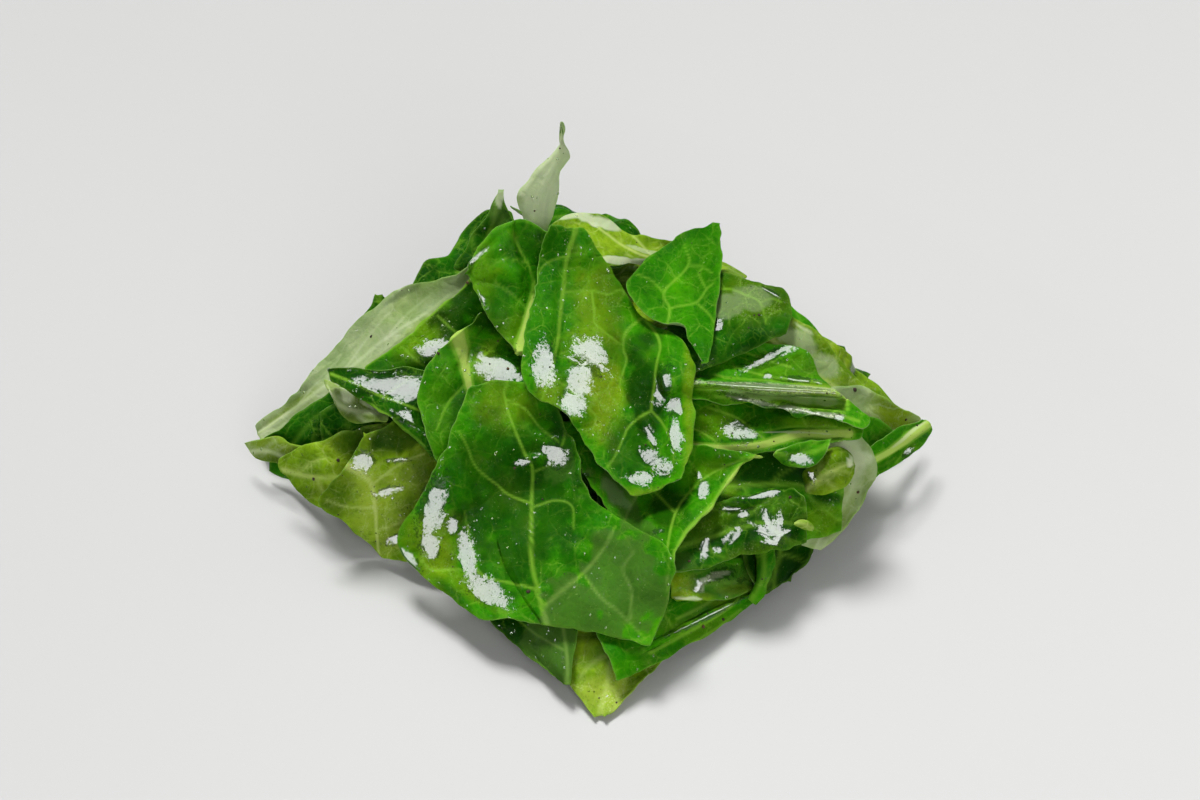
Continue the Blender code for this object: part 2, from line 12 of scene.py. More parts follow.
import bpy
import numpy as np
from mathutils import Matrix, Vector


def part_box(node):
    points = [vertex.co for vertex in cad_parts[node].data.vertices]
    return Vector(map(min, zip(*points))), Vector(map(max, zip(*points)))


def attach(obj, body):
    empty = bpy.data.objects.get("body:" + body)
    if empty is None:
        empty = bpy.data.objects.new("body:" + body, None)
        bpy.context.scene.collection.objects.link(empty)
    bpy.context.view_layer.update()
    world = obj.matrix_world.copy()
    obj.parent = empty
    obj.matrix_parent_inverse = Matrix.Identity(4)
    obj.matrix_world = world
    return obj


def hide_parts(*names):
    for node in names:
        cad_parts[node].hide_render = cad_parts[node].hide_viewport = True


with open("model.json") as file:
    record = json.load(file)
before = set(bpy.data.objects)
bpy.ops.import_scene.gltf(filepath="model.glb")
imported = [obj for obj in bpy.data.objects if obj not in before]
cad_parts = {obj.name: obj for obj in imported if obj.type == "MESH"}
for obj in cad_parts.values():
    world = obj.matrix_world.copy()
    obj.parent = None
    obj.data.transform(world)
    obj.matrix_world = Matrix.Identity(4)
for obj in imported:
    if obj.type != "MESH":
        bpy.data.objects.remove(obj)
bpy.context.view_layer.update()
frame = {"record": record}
SLOTS = {part["node"]: part["material_slot"] for part in frame["record"]["subparts"]}
SLOTS.update(stalk_scrap="leaf_olive", flap_scrap="leaf_bright")     # the scraps have no node

MM = 0.001
UP = np.array([0.0, 0.0, 1.0])

# Driving dimensions of the heap, which its solids have too
CROWN = (-2.0, 14.0)        # place on the table that the heap's top is over
HEAP_HEIGHT = 22.0          # of the crumpled inner pieces, which the outer ones lie on
REACH_SIDE = 78.0           # from the crown to the left and right corners
REACH_FRONT = 97.0
REACH_BACK = 60.0
CORNERS = 1.35              # 1 is a diamond seen from above, 2 an ellipse
PROFILE = (1.7, 0.75)       # powers that round the heap's top and steepen its foot
BLADE = 0.8                 # thickness of a solid leaf
RIB = 2.6                   # thickness of a rib at its cut end
GAP = 0.45                  # clear space between a solid piece and what lies below it
STEEP = 1.5                 # most that a piece falls away for each millimetre of its drawing
CELL = 0.75                 # width of a sight's cells
BED_CELLS = (30, 36)        # of the grid that looks for what lies below a piece
TRIES, TOUCH = 60, 0.02     # of laying a piece, and the overlap that counts as none
LAYER_STEP = 3.0            # rise of an inner layer's rim for each unit of its scale
INNER_REACH = 0.9           # of an inner layer, as a share of the heap's at its scale

# The fine leaves
SHEET = 0.5                 # thickness of a leaf
SHEET_RIM = 0.3             # and at its edge
RIM_BULGE = 0.4             # of the rounded edge, as a share of its thickness
FINE_CELL = 0.6
FINE_CLEAR = 0.12           # least space between two leaves
FINE_TRIES, FINE_TOUCH = 10, 0.05
SPACING = 1.0               # of the points of a leaf
VEINED_SPACING = 0.52       # where the veins are drawn one by one
CORNER_ROUND = 0.7          # radius of a piece's corners
UNEVEN = 0.5                # how far its cut edges wander
EDGE_FADE = 0.35            # width of the pale line along them
RIB_WIDTH = 2.0             # veins wider than this are flat on top
QUILT_REACH = 2.6           # from a vein to where the blade is fully puckered
PUCKER, PALE_PUCKER = 0.65, 0.25
SHINE_TURN = 0.6            # most that a wet place's slope changes so that it mirrors a lamp

# Drops of oil and grains of pepper, with their least, most and commonest radius
DROPS, DROP_RADIUS = 320, (0.13, 0.42, 0.16)
DROP_TONES = {"leaf_deep": 0.0, "leaf_bright": 0.4, "leaf_olive": 0.9, "leaf_pale": 0.7}
GRAINS, GRAIN_RADIUS = 60, (0.15, 0.4, 0.2)
LARGE_GRAIN_RADIUS = (0.45, 0.7)
# Where the largest grains lie in the front drawing
PEPPER = [(-22.5, -18), (-18.5, -50), (-44, 12), (-35, 31), (-60, 16.5), (-75, -20.5), (-68, -16),
          (67, -24), (27, -59.5), (32, -57.5), (79.5, -5), (41.5, 22), (-24, 8), (66.5, 2.5), (50, -26),
          (23.5, -43)]
OUTSIDE = 0.3               # most that an open place lies behind what is seen there
DRY_CHANCE = 0.25           # that an open place is used where the leaf isn't wet

# Lamps that the wet places mirror, as azimuth and elevation in degrees
SOFTBOXES = {"back_softbox": (178.0, 66.0), "left_softbox": (-80.0, 42.0), "right_softbox": (115.0, 42.0),
             "front_softbox": (5.0, 24.0)}
SOFTBOX_DISTANCE = 1000.0
# Lamps that gloss doesn't mirror, with their strength and their width in degrees too
SUNS = {"key_light": (200, 58, 3.3, 18), "fill_light": (15, 34, 1.05, 40)}
SKY = (0.95, 0.97, 1.0, 1.0)
SKY_STRENGTH = 0.14

# Where the drawings are seen from, as azimuth and elevation in degrees
EYE_DISTANCE = 687.0
EYE_LEVEL = 20.0            # height of the point that every drawing is centred on
SENSOR, LENS = 36.0, 78.5
FRONT = (0.0, 44.0)
BACK = (180.0, 50.0)
BACK_RIGHT = (135.0, 35.0)
BACK_LEFT = (225.0, 35.0)
RIGHT = (75.0, 30.0)
LEFT = (285.0, 30.0)

# Colours of what lies on a leaf or runs through it
VEIN = (0.24, 0.50, 0.035, 1.0)
STEM = (0.50, 0.68, 0.13, 1.0)
FILM = (0.062, 0.145, 0.018, 1.0)
FILM_VEIN = (0.24, 0.40, 0.09, 1.0)
FROTH = (0.58, 0.68, 0.26, 1.0)
SPECK = (0.34, 0.52, 0.14, 1.0)
EDGE = (0.25, 0.50, 0.04, 1.0)
# Pale of the pale spots: partly the leaves' own pale places, partly painted highlights and painted light on
# faces the lamps leave dark
PALE_AND_PAINTED_LIGHT = (0.60, 0.68, 0.42, 1.0)
# Darkest green, for mottling, under wet places and for the deep spots, which are partly painted shade
DEEPEST = (0.003, 0.032, 0.0005, 1.0)
OLIVE = (0.205, 0.330, 0.006, 1.0)
PALE = (0.43, 0.52, 0.27, 1.0)
# Each of the record's finishes: its material, its deep, light and olive tones, and what else differs
FINISHES = {
    "leaf_deep": ("leaf_deep_wet", (0.005, 0.055, 0.0004, 1.0), (0.016, 0.150, 0.0008, 1.0),
                  (0.060, 0.150, 0.002, 1.0), {}),
    "leaf_bright": ("leaf_bright_wet", (0.016, 0.170, 0.0006, 1.0), (0.050, 0.295, 0.001, 1.0),
                    OLIVE, {}),
    "leaf_olive": ("leaf_olive_wet", (0.090, 0.210, 0.002, 1.0), (0.26, 0.44, 0.012, 1.0),
                   (0.45, 0.60, 0.06, 1.0), {"vein": (0.60, 0.72, 0.20, 1.0), "froth": 0.7}),
    "leaf_pale": ("leaf_pale_satin", (0.010, 0.080, 0.002, 1.0), (0.15, 0.30, 0.040, 1.0),
                  OLIVE, {"vein": (0.62, 0.70, 0.42, 1.0), "glow": 0.6}),
}


@dataclass
class Piece:
    """One drawn leaf piece, and how it lies."""
    name: str
    left: list
    right: list
    sight: tuple = FRONT
    limp: float = 0.8             # 1 follows what lies below, 0 stays flat
    tilt: tuple = None            # its slopes to the right and to the top, if it doesn't just lie
    lifts: tuple = (0, 0, 0, 0)   # rise of its left, right, base and tip edges
    crown: float = 0.0            # rise of its middle
    ripple: float = 0.6           # height of its waves
    bows: tuple = (0, 0)          # how far its base and tip edges bulge out
    rib: tuple = None             # shares across, at the base and the tip, where a rib runs
    cells: tuple = (5, 6)         # quads across and along

    def length(self):
        """Straight from the base to the tip of its left edge."""
        return np.linalg.norm(np.subtract(self.left[-1], self.left[0]))


def direction(azimuth, elevation):
    """The direction from the heap to something seen round it, with azimuth 0 at the front."""
    turn, rise = math.radians(azimuth), math.radians(elevation)
    level = math.cos(rise)
    return np.array([math.sin(turn) * level, -math.cos(turn) * level, math.sin(rise)])


def bearing(azimuth, elevation):
    """The same direction for objects of the scene."""
    return Vector(direction(azimuth, elevation))


class Sight:
    """One side that the heap is drawn from, with the depth of its surface on each line of sight."""
    SPAN = 150.0
    LEAST_FALL = 0.05       # of a line of sight, for the depth at which it meets the table

    def __init__(self, azimuth, elevation, cell=CELL):
        turn = math.radians(azimuth)
        back = direction(azimuth, elevation)
        self.side = (azimuth, elevation)
        self.ahead = -back
        self.right = np.array([math.cos(turn), math.sin(turn), 0.0])
        self.up = np.cross(self.right, self.ahead)
        self.eye = EYE_LEVEL * UP + back * EYE_DISTANCE
        self.cell = cell
        self.count = int(2 * self.SPAN / cell) + 1
        steps = np.linspace(-self.SPAN, self.SPAN, self.count)
        fall = self.rays(np.stack(np.meshgrid(steps, steps, indexing="ij"), -1))[..., 2]
        self.near = self.eye[2] / np.maximum(-fall, self.LEAST_FALL)

    def rays(self, flat):
        """Directions through drawn points, one unit long straight ahead."""
        sideways = self.right * flat[..., :1] + self.up * flat[..., 1:]
        return self.ahead + sideways / EYE_DISTANCE

    def place(self, flat, depth):
        """Places at depths on the lines of sight through drawn points."""
        return self.eye + self.rays(flat) * depth[..., None]

    def drawn(self, points):
        """Where places are seen in the drawing, and their depths."""
        away = points - self.eye
        depth = away @ self.ahead
        flat = np.stack([away @ self.right, away @ self.up], -1)
        return flat / depth[..., None] * EYE_DISTANCE, depth

    def cells(self, flat):
        """Numbers of the cells that drawn points are in, with a cell to spare all round."""
        index = np.rint((flat + self.SPAN) / self.cell).astype(int)
        index = np.clip(index, 1, self.count - 2)
        return index[..., 0], index[..., 1]

    def stamp(self, points):
        """Brings the surface forward to these places."""
        flat, depth = self.drawn(points)
        np.minimum.at(self.near, self.cells(flat), depth)

    def nearest(self, flat):
        """Depth of the nearest thing in each point's cell and the eight cells round it."""
        i, j = self.cells(flat)
        around = [self.near[i + a, j + b] for a in (-1, 0, 1) for b in (-1, 0, 1)]
        return np.min(around, axis=0)


def mound(x, y, scale=1.0):
    """Height of the heap's inside over places on the table, scaled about the crown's foot."""
    across = np.abs(x - CROWN[0]) / REACH_SIDE
    reach = np.where(y > CROWN[1], REACH_BACK, REACH_FRONT)
    along = np.abs(y - CROWN[1]) / reach
    out = (across ** CORNERS + along ** CORNERS) ** (1 / CORNERS) / scale
    return scale * HEAP_HEIGHT * np.maximum(0.0, 1 - out ** PROFILE[0]) ** PROFILE[1]


def mound_points():
    step = 0.6
    x = np.arange(-REACH_SIDE, REACH_SIDE, step) + CROWN[0]
    y = np.arange(-REACH_FRONT, REACH_BACK, step) + CROWN[1]
    x, y = np.meshgrid(x, y, indexing="ij")
    return np.stack([x, y, mound(x, y)], -1).reshape(-1, 3)


def rail(points, share):
    """A smooth curve through the points of a drawn edge, read at shares of the way along."""
    p = np.array(points, float)
    p = np.vstack([2 * p[0] - p[1], p, 2 * p[-1] - p[-2]])
    at = share * (len(points) - 1)
    k = np.minimum(at.astype(int), len(points) - 2)
    t = (at - k)[:, None]
    a, b, c, d = p[k], p[k + 1], p[k + 2], p[k + 3]
    bend = 2 * a - 5 * b + 4 * c - d
    return b + (c - a) * t / 2 + bend * t ** 2 / 2 + (3 * b - a - 3 * c + d) * t ** 3 / 2


def refined(grid, fine):
    """The grid read finer both ways, on smooth curves through its own points."""
    for _ in range(2):
        share = np.linspace(0, 1, (len(grid) - 1) * fine + 1)
        rows = rail(grid.reshape(len(grid), -1), share)
        grid = rows.reshape(len(share), *grid.shape[1:]).swapaxes(0, 1)
    return grid


def drawing(piece, across, along, fine=1):
    """Drawn places of a grid on the piece, each one's shares across and along, and the rib's column."""
    base = np.linspace(0, 1, across + 1)
    tip = base.copy()
    column = None
    if piece.rib:
        column = int(np.clip(round(sum(piece.rib) / 2 * across), 1, across - 1))
        base[column], tip[column] = piece.rib
    columns = np.linspace(0, across, across * fine + 1)
    base, tip = (np.interp(columns, np.arange(across + 1), share) for share in (base, tip))
    v = np.linspace(0, 1, along * fine + 1)
    u = base[:, None] * (1 - v) + tip[:, None] * v
    v = np.broadcast_to(v, u.shape)
    left, right = rail(piece.left, v[0]), rail(piece.right, v[0])
    flat = left * (1 - u[..., None]) + right * u[..., None]
    length = (left[-1] + right[-1] - left[0] - right[0]) / 2
    forward = length / np.linalg.norm(length)
    bulge = 4 * u * (1 - u) * (piece.bows[1] * v ** 3 - piece.bows[0] * (1 - v) ** 3)
    return flat + bulge[..., None] * forward, u, v, column


def rise(piece, u, v):
    """How far the piece stands off its bed: its crown, its lifted edges and its waves."""
    left, right, base, tip = piece.lifts
    shape = piece.crown * (1 - (2 * u - 1) ** 2) * (1 - (2 * v - 1) ** 2)
    shape = shape + left * (1 - u) ** 3 + right * u ** 3 + base * (1 - v) ** 3 + tip * v ** 3
    draw = random.Random(piece.name)
    turns = [draw.uniform(0.8, 1.3), draw.uniform(1.1, 1.7), draw.uniform(1.8, 2.6)]
    phase = [draw.uniform(0, math.tau) for _ in range(3)]
    wave = np.sin(math.tau * turns[0] * u + phase[0]) * np.cos(math.tau * turns[1] * v + phase[1])
    frill = (2 * u - 1) ** 2 * np.sin(math.tau * turns[2] * v + phase[2])
    return shape + piece.ripple * (1.6 + wave + 0.6 * frill)


def smoothed(depth):
    wide = np.pad(depth, 1, mode="edge")
    beside = wide[:-2, 1:-1] + wide[2:, 1:-1] + wide[1:-1, :-2] + wide[1:-1, 2:]
    return depth / 2 + beside / 8


def bed(piece, sight, flat):
    """Depth of the piece's grid where it lies, between flat and wholly sunk onto what is below."""
    fine = drawing(piece, *BED_CELLS)[0].reshape(-1, 2)
    room = sight.nearest(fine) - GAP - BLADE / 2
    apart = np.linalg.norm(flat[:, :, None] - fine, axis=-1)
    sunk = (room + STEEP * apart).min(axis=-1)
    if piece.tilt:
        slope = np.array(piece.tilt)
    else:
        terms = np.column_stack([flat.reshape(-1, 2), np.ones(sunk.size)])
        slope = np.linalg.lstsq(terms, sunk.ravel(), rcond=None)[0][:2]
    level = flat @ slope + (room - fine @ slope).min()
    return smoothed(piece.limp * sunk + (1 - piece.limp) * level)


def facets(rows, columns):
    """Corner numbers of a grid's triangles, with every quad split along the same diagonal."""
    n = np.arange(rows * columns).reshape(rows, columns)
    a, b, c, d = (part.ravel() for part in (n[:-1, :-1], n[1:, :-1], n[1:, 1:], n[:-1, 1:]))
    return np.concatenate([np.column_stack([a, b, c]), np.column_stack([a, c, d])])


def normals(points, triangles, towards):
    sides = points[triangles[:, 1:]] - points[triangles[:, :1]]
    cross = np.cross(sides[:, 0], sides[:, 1])
    total = np.zeros_like(points)
    for k in range(3):
        np.add.at(total, triangles[:, k], cross)
    total /= np.linalg.norm(total, axis=1, keepdims=True)
    return total * np.sign(cross.sum(axis=0) @ towards)


# Shares of a triangle's corners at evenly spread points on it
SAMPLES = 10
SHARES = np.array([(i, j, SAMPLES - i - j) for i in range(SAMPLES + 1)
                   for j in range(SAMPLES + 1 - i)]) / SAMPLES


def spread(points, triangles):
    """Evenly spread points on each triangle."""
    return np.einsum("sk,tkx->tsx", SHARES, points[triangles])


@dataclass
class Blade:
    """A solid piece in its place: a grid of points in the middle of the leaf, and its thickness."""
    name: str
    cells: tuple
    points: np.ndarray
    thick: np.ndarray
    normal: np.ndarray
    piece: Piece = None
    depth: np.ndarray = None

    def face(self, side):
        return self.points + self.normal * (self.thick * side / 2)[:, None]

    def triangles(self):
        return facets(self.cells[0] + 1, self.cells[1] + 1)


def laid(piece, sights):
    """The piece pushed towards the eye until all of it is clear of what lies below."""
    sight = sights[piece.sight]
    flat, u, v, column = drawing(piece, *piece.cells)
    depth = bed(piece, sight, flat) - rise(piece, u, v)
    thick = np.full(u.shape, BLADE)
    if column is not None:
        thick[column] += (RIB - BLADE) * (1 - v[column]) ** 0.8
    triangles = facets(*u.shape)
    for _ in range(TRIES):
        points = sight.place(flat, depth).reshape(-1, 3)
        normal = normals(points, triangles, -sight.ahead)
        blade = Blade(piece.name, piece.cells, points, thick.ravel(), normal, piece, depth)
        excess = np.zeros(len(triangles))
        for side in (-1, 1):
            seen, far = sight.drawn(spread(blade.face(side), triangles))
            excess = np.maximum(excess, (far - sight.nearest(seen) + GAP).max(axis=1))
        if excess.max() < TOUCH:
            return blade
        push = np.zeros(len(points))
        for k in range(3):
            np.maximum.at(push, triangles[:, k], excess)
        depth = depth - push.reshape(depth.shape)
    raise ValueError(f"{piece.name} finds no place")


def stamp(blade, sights):
    for side in (-1, 1):
        surface = spread(blade.face(side), blade.triangles()).reshape(-1, 3)
        for sight in sights.values():
            sight.stamp(surface)


FRONT_PIECES = [
    # Behind the crown
    Piece("back_leaf",
          [(-14, 44.5), (-8, 48), (0, 47.6), (8, 44.2), (16, 41.8), (25, 42)],
          [(-14, 33), (-8, 32), (-2, 33), (4, 35.5), (12, 35.5), (25, 33)], lifts=(2, 0, 0, 0)),
    Piece("back_left_leaf",
          [(-50, 29), (-46, 36), (-40, 38), (-36, 44), (-30, 50), (-24, 50)],
          [(-44, 18), (-38, 20), (-32, 22), (-26, 26), (-22, 30), (-18, 35)], lifts=(4, 0, 0, 0)),
    Piece("back_tip_leaf",
          [(-39, 34), (-34.5, 42), (-29.5, 48), (-27, 55)],
          [(-14, 30), (-18, 40), (-23, 48), (-26, 55)], limp=0.3, tilt=(0, -0.3), ripple=0.3),
    Piece("back_left_tip_leaf",
          [(-68, 4), (-64, 16), (-60, 23), (-58.5, 27.5)],
          [(-42, 8), (-47, 18), (-52, 23), (-56, 27)], limp=0.6, ripple=0.3),
    Piece("upright_leaf",
          [(-20, 36), (-20.5, 46), (-22, 53), (-18.5, 58.5), (-14, 64), (-11.4, 68.5), (-10.3, 73)],
          [(-8, 36), (-13.5, 43), (-12.3, 50), (-10.5, 58), (-7.8, 64.5), (-8.8, 68.5), (-9.6, 73)],
          limp=0.0, tilt=(0.1, -0.25), ripple=0.3, crown=1.5),
    # Along the left side
    Piece("left_pale_leaf",
          [(-91, -7), (-80, 2), (-72, 12), (-62, 22), (-52, 29), (-40, 32), (-33, 36), (-27, 43)],
          [(-87, -14), (-76, -9), (-66, -4), (-56, 3), (-48, 8), (-40, 14), (-32, 22), (-24, 32)],
          lifts=(3, 0, 0, 0), cells=(4, 9)),
    Piece("left_inner_leaf",
          [(-88, -10), (-78, -3), (-68, 3), (-57, 5)],
          [(-86, -18), (-76, -22), (-66, -19), (-55, -10)], lifts=(1, 0, 0, 0)),
    Piece("left_end_leaf",
          [(-93.5, -11.5), (-86, -9.5), (-79, -12), (-70, -14)],
          [(-90, -15), (-84, -17), (-78, -23), (-68, -26)]),
    # Along the right side
    Piece("right_rim_leaf",
          [(43, 25), (49, 22.5), (54, 19), (60, 13.5), (65, 8), (70, 1)],
          [(32, 18), (38, 12), (44, 6), (51, 1), (58, -3), (65, -8)], lifts=(1, 0, 0, 0)),
    Piece("right_grey_leaf",
          [(60, 3), (69, 3), (76, -1), (83.5, -5)],
          [(58, -10), (66, -13), (74, -14), (82, -12)]),
    Piece("right_end_under_leaf",
          [(58, -9), (63, -5), (69, -4), (77, -7)],
          [(58, -24), (66, -24), (72, -20), (80, -14)]),
    Piece("right_end_leaf",
          [(87.3, -7.6), (83.2, -12.6), (77.5, -17.2), (70, -21.5), (60, -27)],
          [(84.2, -5), (78, -7.6), (72, -11), (66, -14), (58, -15)], rib=(0.5, 0.62), bows=(0.4, 0)),
    # The low front
    Piece("front_tip_leaf",
          [(-14, -46), (-13, -60), (-9, -73), (-1.5, -83)],
          [(22, -46), (22, -59), (13, -73), (2, -83)]),
    Piece("front_low_leaf",
          [(-38, -36), (-34, -47), (-29, -57), (-20, -66), (-10, -74.5)],
          [(-4, -36), (-5, -48), (-6, -58), (-7, -68), (-7.5, -74.5)]),
    Piece("right_low_leaf",
          [(-2, -58), (8, -50), (19, -44), (30, -41), (39, -39)],
          [(4, -74), (14, -69.5), (24, -64), (33, -58.5), (41, -52.5)], ripple=0.9),
    Piece("right_film_leaf",
          [(18, -46), (26, -42.5), (34, -41.5), (41, -42)],
          [(19, -53), (26, -53), (34, -52), (40.5, -49.5)], ripple=0.4, cells=(4, 5)),
    # Painted shade: a dark leaf that fills the shadowed gap at the low right
    Piece("right_deep_leaf",
          [(36, -33), (37.5, -40), (39, -46), (43, -51.5)],
          [(55, -33), (56, -38), (54, -43), (49, -47.5)], ripple=0.4),
    Piece("right_curl_leaf",
          [(40, -37), (41, -42), (41, -47), (38.5, -52.5)],
          [(45, -37), (45.5, -42), (44.5, -47.5), (40.5, -54)], crown=2.0, ripple=0.2, cells=(3, 5)),
    Piece("left_under_leaf",
          [(-73, -3), (-64, 2), (-55, 2)],
          [(-72, -24), (-62, -27), (-53, -20)]),
    Piece("left_yellow_leaf",
          [(-83.5, -14.5), (-73, -11), (-63, -7), (-52, -6)],
          [(-82, -20), (-74, -27.5), (-64, -32), (-54, -28)], bows=(1, 0)),
    Piece("left_front_leaf",
          [(-57, -41), (-66, -33), (-74, -26), (-67, -18), (-61, -9)],
          [(-43, -43), (-40, -30), (-36, -18), (-40, -8), (-49, -2)], lifts=(1, 0, 0, 1)),
    # The low right
    Piece("right_clear_leaf",
          [(56, -8), (55, -20), (54, -30), (53, -38)],
          [(68, -9), (72.5, -17), (69.5, -26), (58.5, -40)], lifts=(0, 2, 0, 0), ripple=0.9),
    Piece("right_under_leaf",
          [(27, -8), (40, -9), (52, -11), (64.5, -17)],
          [(29, -35), (40, -36), (52, -37), (63, -34.5)], ripple=1.0),
    Piece("right_rolled_leaf",
          [(53.5, -20), (57, -15.6), (62, -13), (66.5, -14.6)],
          [(54.5, -25), (58.5, -24.8), (63, -22.8), (67, -18.3)], crown=3.0, ripple=0.2, cells=(4, 5)),
    Piece("right_dark_leaf",
          [(17, -33), (24, -29), (31, -27), (38.5, -25), (46, -23.3), (54, -25)],
          [(15, -46), (22, -45.7), (30, -43.2), (38.5, -40.5), (47, -39), (54.5, -37.3)], ripple=1.3,
          cells=(5, 8)),
    # The middle of the heap
    Piece("left_rim_leaf",
          [(-62, 8.5), (-52, 15.5), (-42, 24.5), (-34, 31.5), (-27, 42)],
          [(-56, 2), (-46, 3), (-37, 9), (-28, 19), (-20, 31)], lifts=(3, 0, 0, 0)),
    Piece("left_curl_leaf",
          [(-72, 6), (-68, 3.5), (-62, 2), (-55, 1)],
          [(-70, -0.5), (-66.5, -4.5), (-62, -6), (-56, -5.5)], crown=1.5, ripple=0.4, cells=(4, 5)),
    Piece("left_folded_leaf",
          [(-71.5, 8.3), (-60, 7.5), (-48, 8), (-37, 4)],
          [(-70.5, 5), (-61, -0.5), (-52, -7), (-41, -18.5)], lifts=(2, 0, 0, 0), ripple=0.9, cells=(5, 7)),
    Piece("left_stem_leaf",
          [(-31, 23), (-39, 17), (-46, 8), (-47, -6), (-41, -20)],
          [(-21, 17.5), (-16, 13), (-12, 6), (-11, -4), (-13, -16)], rib=(0.15, 0.5),
          lifts=(1, 0, 2, 0)),
    Piece("ribbed_lower_leaf",
          [(68, -10.5), (55, -11.5), (42, -14), (27, -15), (14, -14.5)],
          [(69, -6), (58, -2), (43, 1), (28, 2), (14, 3)], rib=(0.4, 0.12), bows=(1, 0)),
    Piece("ribbed_upper_leaf",
          [(69, -7.5), (60, -5), (48, -3), (35, -0.5), (18, 1)],
          [(70.5, -4.5), (64, 0.6), (57.5, 6.5), (51.5, 13.5), (36, 15), (18, 12)],
          rib=(0.5, 0.25), bows=(1, 0), lifts=(3, 0, 0, 0), cells=(5, 7)),
    Piece("right_back_leaf",
          [(18, 29), (26, 32), (34, 32.3), (41, 31.2), (47.5, 29.4)],
          [(18, 3), (26, 7.5), (33, 10.5), (41, 14), (48, 17.4)],
          crown=3.5, lifts=(0, 0, 0, 0.5), bows=(0, 2.5)),
    Piece("centre_low_leaf",
          [(-11, -6), (-8, -14), (0, -26), (8, -37), (14.5, -45)],
          [(43, -14.8), (38, -17), (31, -26), (23, -35), (18, -45.5)], lifts=(0, 2.5, 0, 0),
          cells=(5, 7)),
    Piece("front_leaf",
          [(-31, -58), (-47, -46), (-53, -38), (-50, -30), (-43, -18), (-38, -6), (-35, 3)],
          [(13, -65), (18, -52), (19, -41), (8, -33), (-2, -26), (-6, -14), (-13, 3)],
          rib=(0.38, 0.5), lifts=(2, 1, 0, 0), bows=(-2, 2), crown=1.5, cells=(8, 9)),
    Piece("stem_leaf",
          [(-22.5, 12.5), (-28.5, 20.5), (-32.8, 28.5), (-35.2, 33.5)],
          [(-17, 7), (-12, 18), (-10, 30), (-12.5, 43.5)],
          rib=(0.3, 0.6), lifts=(2, 0, 0, 1.5), bows=(0, 8)),
    Piece("crown_leaf",
          [(-14, 46), (-17.5, 32), (-19.5, 16), (-19, 3), (-8.5, -4.5), (-1.5, -16), (8.5, -25.5)],
          [(-4.5, 45), (3, 34), (11, 22.5), (23.5, 13), (24.5, 0), (24.2, -11), (21, -22.5)],
          lifts=(2, 1.5, 0, 1.5), crown=2.5, cells=(8, 10)),
    Piece("veined_leaf",
          [(29, 46.5), (22, 43.5), (13, 37), (7.5, 31), (8, 26.5), (14.5, 20.8), (21.5, 18), (26, 10)],
          [(31, 46), (32, 40), (31.6, 34), (31.3, 28), (30.7, 23), (30, 18.5), (29, 14), (27.8, 9)],
          limp=0.85, lifts=(1, 0, 1, 2), cells=(6, 9)),
]


# Torn scraps on top, too small for solids of their own
SCRAPS = [
    Piece("stalk_scrap",
          [(51, -31.6), (52.8, -31), (54.6, -31.6), (56.4, -33.2)],
          [(51, -32.4), (52.8, -33.2), (54.6, -34), (56.2, -34.2)], crown=0.4, ripple=0.05, cells=(3, 4)),
    Piece("flap_scrap",
          [(45.5, -14.2), (48.5, -16.8), (53, -18.2), (57, -16.6), (60.5, -12.6)],
          [(46.5, -13), (50, -11.9), (54, -11.1), (57.5, -10.9), (61, -10.8)], ripple=0.3, cells=(4, 6)),
]

# Outlines of cut pieces, one unit tall, as left and right edges from base to tip
CUTS = [
    # A rounded side and a straight cut across the base
    ([(-0.42, -0.46), (-0.55, -0.12), (-0.46, 0.26), (-0.16, 0.50)],
     [(0.46, -0.50), (0.50, -0.10), (0.40, 0.22), (0.14, 0.54)]),
    # A wedge from beside the stem
    ([(-0.14, -0.54), (-0.38, -0.20), (-0.48, 0.16), (-0.40, 0.44)],
     [(0.10, -0.52), (0.34, -0.24), (0.52, 0.10), (0.44, 0.50)]),
    # A long strip, cut at both ends
    ([(-0.30, -0.56), (-0.36, -0.18), (-0.30, 0.20), (-0.36, 0.52)],
     [(0.28, -0.48), (0.36, -0.14), (0.34, 0.22), (0.22, 0.60)]),
    # A pointed corner of a blade
    ([(-0.44, -0.50), (-0.36, -0.16), (-0.22, 0.20), (-0.03, 0.62)],
     [(0.52, -0.42), (0.50, -0.10), (0.30, 0.26), (0.03, 0.60)]),
]


def side_piece(name, sight, middle, turn, height):
    """A piece on a side that the front drawing doesn't show."""
    draw = random.Random(name)
    turn = math.radians(turn)
    along = np.array([math.sin(turn), math.cos(turn)])
    across = np.array([along[1], -along[0]])
    edges = []
    for edge in draw.choice(CUTS):
        loose = [(x + draw.uniform(-0.05, 0.05), y + draw.uniform(-0.04, 0.04)) for x, y in edge]
        edges.append([np.array(middle) + height * (x * across + y * along) for x, y in loose])
    lifts = tuple(draw.uniform(0, 2.6) for _ in range(4))
    return Piece(name, edges[0], edges[1], sight, lifts=lifts, crown=draw.uniform(0, 2.5),
                 ripple=draw.uniform(0.7, 1.5), bows=(draw.uniform(-1, 1), draw.uniform(0, 3)))


def side_pieces():
    """Pieces round the back and sides, the low ones first, each with its place, turn and height."""
    rows = [
        ("back_right", BACK_RIGHT, [(-29, -32, 10, 40), (2, -34, -35, 48), (34, -30, 10, 44),
                                    (-18, -18, 110, 36), (18, -12, -20, 44)]),
        ("back_left", BACK_LEFT, [(-32, -30, -15, 44), (0, -33, 40, 48), (31, -29, -30, 44),
                                  (-18, -13, 15, 44), (14, -13, -65, 46)]),
        ("right", RIGHT, [(16, -30, 15, 40), (-8, -31, -60, 42)]),
        ("left", LEFT, [(-14, -30, -20, 40), (10, -31, 55, 42)]),
        ("back_corner", BACK, [(4, -33, 150, 38)]),
    ]
    pieces = []
    for place, sight, spots in rows:
        for k, (x, y, turn, height) in enumerate(spots):
            pieces.append(side_piece(f"{place}_piece_{k + 1}", sight, (x, y), turn, height))
    return pieces


